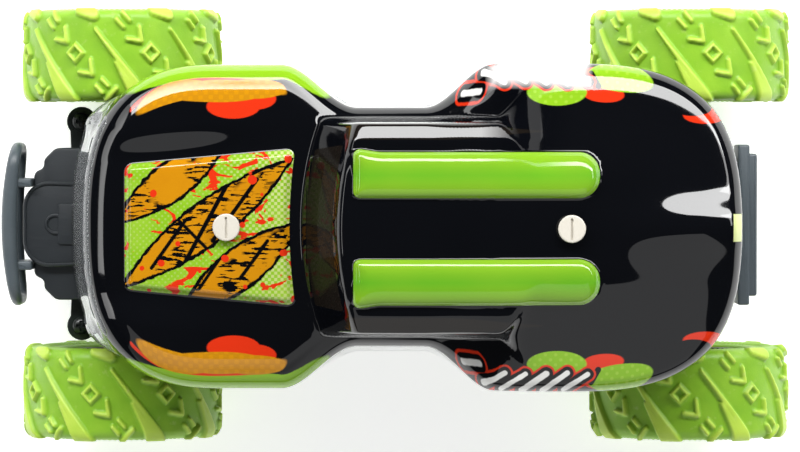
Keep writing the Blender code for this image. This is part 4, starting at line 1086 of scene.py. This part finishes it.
def tyre_mesh(turn):
    """The treaded tyre about its own centre, its pattern moved round by turn millimetres."""
    steps = 72
    sector = np.arange(steps) / steps * TREAD_PITCH
    bed = TYRE_RADIUS - LUG_HEIGHT - 0.15
    half_path = [
        (18.2, 10.6), (18.2, 12.2), (18.7, 12.9), (19.5, 13.2), (20.3, 12.9), (21.4, 12.9),
        (23.2, 13.45), (25.2, 13.6), (26.8, 13.45), (27.8, 13.0), (28.5, 12.2), (28.95, 11.2),
        (bed, 9.6), (bed + 0.1, 6), (bed + 0.15, 0),
    ]
    lengths = [0]
    for (r0, y0), (r1, y1) in zip(half_path, half_path[1:]):
        lengths.append(lengths[-1] + math.hypot(r1 - r0, y1 - y0))
    sample = np.linspace(0, lengths[-1], 56)
    radius = np.interp(sample, lengths, [p[0] for p in half_path])
    width = np.interp(sample, lengths, [p[1] for p in half_path])
    radius = np.concatenate([radius, radius[-2::-1]])
    y = np.concatenate([-width, width[-2::-1]])
    normal = np.gradient(np.stack([radius, y], 1), axis=0)
    normal = np.stack([normal[:, 1], -normal[:, 0]], 1)
    normal /= np.linalg.norm(normal, axis=1)[:, None]
    on_tread = smoothstep(25.4, 27.2, radius)
    spread = np.sign(y) * (np.abs(y) + np.maximum(27.8 - radius, 0) * 0.8)
    s, t = np.meshgrid(sector, spread, indexing="ij")
    distance = np.minimum.reduce([tread_distance(s + k * TREAD_PITCH, t) for k in range(-1, 3)])
    raised = smoothstep(0.28, -0.28, distance) * on_tread
    knurl = smoothstep(22.0, 22.6, radius) * smoothstep(25.2, 24.6, radius)
    ribs = 0.5 + 0.5 * np.sin(2 * math.pi * sector / TREAD_PITCH * 12)
    lift = raised * LUG_HEIGHT + 0.3 * knurl * ribs[:, None]
    rows, levels = [], []
    for tread in range(TREADS):
        for i in range(steps):
            angle = (tread + i / steps) * 2 * math.pi / TREADS + turn / TYRE_RADIUS
            r = np.minimum(radius + normal[:, 0] * lift[i], TYRE_RADIUS)
            wide = np.clip(y + normal[:, 1] * lift[i], -TYRE_HALF, TYRE_HALF)
            rows.append(np.stack([-r * math.sin(angle), wide, r * math.cos(angle)], 1))
            levels.append(raised[i])
    points, faces = bridge(rows, closed_rows=True, closed_columns=True)
    mesh = mesh_from("treaded_tyre", points, faces, FINISHES["tyre_rubber"])
    add_values(mesh, "raised", np.concatenate(levels))
    mesh.update()
    mesh.shade_smooth()
    return mesh


def rim_mesh():
    """Dished rim with five paired spokes, a hub and bolt heads, its outer side towards +Y."""
    barrel = turned(
        [
            (16.2, -12.2), (17.4, -12.3), (18.1, -12.0), (18.1, -10.9), (17.6, -10.4), (17.2, -6),
            (17.2, 6), (17.6, 10.4), (18.1, 10.9), (18.1, 12.0), (17.4, 12.3), (16.2, 12.2),
            (15.9, 11.6), (15.7, 8), (15.5, 3.0), (15.4, -4), (15.6, -9), (15.9, -11.6),
        ],
        96,
    )
    hub = turned(
        [
            (2.3, -5), (4.9, -5), (5.2, -4.6), (5.4, 3.6), (6.2, 4.2), (6.3, 6.4), (5.7, 7.0),
            (4.9, 7.1), (4.8, 8.8), (2.3, 8.8),
        ],
        48,
    )
    dish = turned([(5.2, 1.6), (15.6, 0.4), (15.6, 1.4), (5.2, 3.0)], 72)
    parts = [barrel, hub, dish]
    for i in range(5):
        for lean in (-0.16, 0.16):
            turn = 2 * math.pi * i / 5
            path, radii = [], []
            for k in range(9):
                share = k / 8
                r = 5.0 + 10.9 * share
                angle = turn + lean * (0.5 + 1.1 * share)
                height = 4.6 + 3.2 * math.sin(math.pi * share * 0.55) + 1.6 * share
                path.append((r * math.cos(angle), height - 1.0, r * math.sin(angle)))
                radii.append(1.25 - 0.25 * share)
            parts.append(tube_along(path, radii, 12))
        turn = 2 * math.pi * (i + 0.5) / 5
        bolt, faces = dome(0, 0, 0, 1.15, 0.9, 16, 4)
        bolt_x, bolt_z = 9.2 * math.cos(turn), 9.2 * math.sin(turn)
        bolt = np.stack([bolt[:, 0] + bolt_x, bolt[:, 2] + 2.2, bolt[:, 1] + bolt_z], 1)
        parts.append((bolt, faces))
    points, faces = merged(*parts)
    mesh = mesh_from("spoked_rim", points, faces, FINISHES["rim_plastic"])
    builder = bmesh.new()
    builder.from_mesh(mesh)
    bmesh.ops.recalc_face_normals(builder, faces=builder.faces)
    builder.to_mesh(mesh)
    builder.free()
    mesh.shade_smooth()
    mesh.set_sharp_from_angle(angle=math.radians(40))
    return mesh


def make_wheels():
    """Treaded tyres and spoked rims. The tyres' turns differ, as wheels come to rest anyhow."""
    rim = rim_mesh()
    for prefix, body, turn in (
        ("front_left", "front_left_wheel", -1.5),
        ("front_right", "front_right_wheel", -6.5),
        ("rear_left", "rear_axle", 1.8),
        ("rear_right", "rear_axle", -12.0),
    ):
        centre = middle(prefix + "_tyre")
        half_turn = math.pi if centre[1] < 0 else 0
        for mesh, part, slot, spin in (
            (tyre_mesh(turn), "tyre", "tyre_rubber", 0),
            (rim, "rim", "rim_plastic", half_turn),
        ):
            piece = placed(f"{prefix}_{part}_fine", mesh)
            piece.location = Vector(centre) * MM
            piece.rotation_euler = (0, 0, spin)
            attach(piece, body)
            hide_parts(f"{prefix}_{part}")


# -------------------------------------------------------------- nose and tail

def arc(centre_x, centre_y, radius, start, end, steps=8):
    turns = np.radians(np.linspace(start, end, steps + 1))
    return [(centre_x + radius * math.cos(t), centre_y + radius * math.sin(t)) for t in turns]


def make_nose():
    """The front bulkhead and the kingpin carriers below it, with rounded edges."""
    low, high = BULKHEAD_LOW[2], BULKHEAD_HIGH[2]
    half = 23.0
    right = [(68, -half), (103.5, -half), (107, -19.5), (107, -17), (110, -15.5), (110, -9), (113, -6)]
    outline = rounded(right + [(a, -b) for a, b in right[::-1]], 1.4)
    box = plate(outline, low, high, 0.7)
    parts = [box]
    carriers = rounded([(80, -KINGPIN_Y), (88, -KINGPIN_Y), (88, KINGPIN_Y), (80, KINGPIN_Y)], 0.5)
    carrier_low, carrier_high = 20.0, 22.5
    parts.append(plate(carriers, carrier_low, carrier_high, 0.5))
    for side in (-1, 1):
        end = arc(FRONT_AXLE_X, side * KINGPIN_Y, 4.0, 0, 352, 28)
        parts.append(plate(end, carrier_low, carrier_high, 0.5))
    points, faces = merged(*parts)
    bulkhead = new_piece("nose_box", points, faces, "chassis", "chassis_plastic", sharp=30)
    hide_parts("front_bulkhead")


def cover_outline(inset):
    front, half, radius = COVER_HIGH[0] - inset, 13.0 - inset, 8.0 - inset
    rear = COVER_LOW[0] + inset
    return (
        arc(front - radius, -half + radius, radius, -90, 0, 10)
        + arc(front - radius, half - radius, radius, 0, 90, 10)
        + rounded([(rear, half), (rear, -half)], 0.5)
    )


def make_cover():
    """Steering cover: a lid with a raised rim, a pad and a ring."""
    low = COVER_LOW[2]
    lid = plate(cover_outline(0), low, low + 2.0, 0.5)
    rim_rows = []
    for inset, rise in ((0.15, 1.8), (0.2, 2.3), (0.45, 2.55), (0.85, 2.55), (1.15, 2.3), (1.2, 1.8)):
        rim_rows.append([(a, b, low + rise) for a, b in cover_outline(inset)])
    rim_points, rim_faces = bridge(rim_rows)
    pad_outline = rounded([(91, -6.2), (102.6, -6.2), (102.6, 6.2), (91, 6.2)], 0.9)
    pad = plate(pad_outline, low + 1.5, low + 2.65, 0.35)
    ring_path = [(a, b, low + 2.1) for a, b in arc(103.4, 0, 2.7, 0, 348, 29)]
    ring = tube_along(ring_path, [0.5] * len(ring_path), 10, closed=True)
    points, faces = merged(lid, (rim_points, rim_faces), pad, ring)
    cover = new_piece("steering_cover_fine", points, faces, "chassis", "chassis_plastic", sharp=30)
    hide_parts("steering_cover")


def make_bumper_hoop():
    """Bent hoop with two stays, thinner at its ends."""
    thickness = 2.4
    front, half, low, high, corner = HOOP_FRONT - thickness, 23.0, 27.0, 49.0, 6.0
    loop = []
    corners = (
        (half - corner, high - corner, 0), (-half + corner, high - corner, 90),
        (-half + corner, low + corner, 180), (half - corner, low + corner, 270),
    )
    for i, (cy, cz, start) in enumerate(corners):
        bend = arc(cy, cz, corner, start, start + 90, 10)
        loop += bend
        ny, nz, next_start = corners[(i + 1) % 4]
        target_y = ny + corner * math.cos(math.radians(next_start))
        target_z = nz + corner * math.sin(math.radians(next_start))
        last_y, last_z = bend[-1]
        for k in range(1, 14):
            loop.append((last_y + (target_y - last_y) * k / 14, last_z + (target_z - last_z) * k / 14))
    path = [(front - 2.0 * (y / half) ** 2, y, z) for y, z in loop]
    radii = [thickness - 0.7 * (abs(y) / half) ** 2 for _, y, _ in path]
    parts = [tube_along(path, radii, 20, closed=True)]
    for y in (-12.5, 12.5):
        stay = rounded([(110.3, y - 1.3), (116.6, y - 1.3), (116.6, y + 1.3), (110.3, y + 1.3)], 0.5)
        parts.append(plate(stay, 26.0, 49.4, 0.5))
    points, faces = merged(*parts)
    hoop = new_piece("bumper_hoop", points, faces, "chassis", "bumper_plastic", sharp=35)
    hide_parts("front_bumper_bar")


def make_tie_bar():
    """Tie bar with round ends, and the domed screws over the knuckles' pins."""
    low, high = TIE_LOW[2], TIE_HIGH[2]
    end = 4.5
    neck = 3.2
    outline = (
        arc(TIE_X, KINGPIN_Y, end, -40, 220, 18)
        + [(TIE_X - neck - 0.8, KINGPIN_Y - 9), (TIE_X - neck - 0.8, -KINGPIN_Y + 9)]
        + arc(TIE_X, -KINGPIN_Y, end, 140, 400, 18)
        + [(TIE_X + neck, -KINGPIN_Y + 9), (TIE_X + neck, KINGPIN_Y - 9)]
    )
    bar_plate = plate(outline, low, high, 0.5)
    bar_piece = new_piece("tie_bar_fine", *bar_plate, "tie_bar", "black_plastic", sharp=35)
    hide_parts("tie_bar")
    for side, knuckle in ((1, "left"), (-1, "right")):
        node = knuckle + "_tie_screw"
        screw_low, screw_high = node_box(node)
        points, faces = cross_head(TIE_X, side * KINGPIN_Y, screw_high[2] - 1.6, 2.7, 1.6)
        shank_outline = arc(TIE_X, side * KINGPIN_Y, 1.3, 0, 345, 23)
        shank = plate(shank_outline, screw_low[2], screw_high[2] - 1.5, 0.2)
        points, faces = merged((points, faces), shank)
        body, look = knuckle + "_knuckle", FINISHES["black_plastic"]
        screw = new_piece(node + "_fine", points, faces, body, "steel", look)
        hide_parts(node)


def make_tail():
    """Two-step bumper block."""
    low, high = TAIL_LOW[2], TAIL_HIGH[2]
    inner = rounded([(-105.3, -24), (-101.8, -24), (-101.8, 24), (-105.3, 24)], 0.7)
    outer = rounded([(-107.6, -21.3), (-104, -21.3), (-104, 21.3), (-107.6, 21.3)], 0.9)
    points, faces = merged(plate(inner, low, high, 0.6), plate(outer, low + 0.8, high - 0.4, 0.8))
    block = new_piece("tail_block", points, faces, "chassis", "bumper_plastic", sharp=35)
    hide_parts("rear_bumper")


def make_springs():
    """Wound springs, closer coiled at both ends."""
    swing = REAR_SPRING_REACH * math.sin(math.radians(REAR_SWING_DEGREES))
    for joint, node, travel in (
        ("left_travel", "front_left_spring", FRONT_TRAVEL),
        ("right_travel", "front_right_spring", FRONT_TRAVEL),
        ("rear_swing", "rear_left_spring", swing),
        ("rear_swing", "rear_right_spring", swing),
    ):
        low, high = (np.array(corner) for corner in node_box(node))
        centre, height = (low + high) / 2, high[2] - low[2]
        radius = (high[0] - low[0]) / 2 - SPRING_WIRE
        path = []
        for t in np.linspace(0, 1, SPRING_TURNS * 20 + 1):
            angle = 2 * math.pi * SPRING_TURNS * t
            share = (smoothstep(0.06, 0.94, t) + t) / 2  # closer coils at both ends
            z = low[2] + SPRING_WIRE + (height - 2 * SPRING_WIRE) * share
            x, y = centre[0] + radius * math.cos(angle), centre[1] + radius * math.sin(angle)
            path.append((x, y, z))
        points, faces = tube_along(path, [SPRING_WIRE] * len(path), 10)
        spring = new_piece(node + "_fine", points, faces, "chassis", "steel", sharp=60)
        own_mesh(spring)
        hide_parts(node)


# ---------------------------------------------------------- light and camera

def area_light(name, place, aim, width, height, power):
    lamp = bpy.data.lights.new(name, "AREA")
    lamp.shape = "RECTANGLE"
    lamp.size, lamp.size_y = width, height
    lamp.energy = power
    made = placed(name, lamp)
    made.location = place
    made.rotation_euler = (Vector(aim) - Vector(place)).to_track_quat("-Z", "Y").to_euler()


def make_stage():
    """Pale floor, a bright softbox on the car's right and weaker ones round the rest."""
    builder = bmesh.new()
    bmesh.ops.create_grid(builder, x_segments=8, y_segments=8, size=3.0)
    mesh = bpy.data.meshes.new("floor")
    builder.to_mesh(mesh)
    builder.free()
    mesh.materials.append(floor_material())
    placed("floor", mesh)
    area_light("right_softbox", (-0.30, -0.80, 0.85), (-0.30, 0, 0.05), 3.0, 0.28, 41)
    area_light("left_panel", (0.0, 1.02, 0.85), (0, 0, 0.08), 2.8, 1.5, 10.5)
    area_light("front_softbox", (1.10, -0.25, 0.64), (0, 0, 0.05), 0.9, 0.12, 1.5)
    area_light("rear_softbox", (-1.10, -0.35, 0.64), (0, 0, 0.05), 0.5, 0.12, 1.2)
    world = bpy.data.worlds.new("studio")
    world.use_nodes = True
    background = world.node_tree.nodes["Background"]
    background.inputs["Color"].default_value = (0.9, 0.93, 1.0, 1)
    background.inputs["Strength"].default_value = 0.05
    bpy.context.scene.world = world
    bpy.context.scene.view_settings.view_transform = "Standard"


def make_camera():
    """Above the car and a touch to its right, its front to the left of the frame."""
    distance, tilt = 1.285, math.radians(1.25)
    frame_width = 0.2418
    camera = placed("camera", bpy.data.cameras.new("camera"))
    camera.data.sensor_width = 36.0
    camera.data.lens = 36.0 * distance / frame_width
    target = Vector((-0.0007, 0.0006, 0.045))
    camera.location = target + distance * Vector((0, -math.sin(tilt), math.cos(tilt)))
    camera.rotation_euler = (-tilt, 0, math.pi)
    bpy.context.scene.camera = camera


make_camera()
make_stage()
dress_nodes()
make_shell()
make_wheels()
make_nose()
make_cover()
make_bumper_hoop()
make_tie_bar()
make_tail()
make_springs()
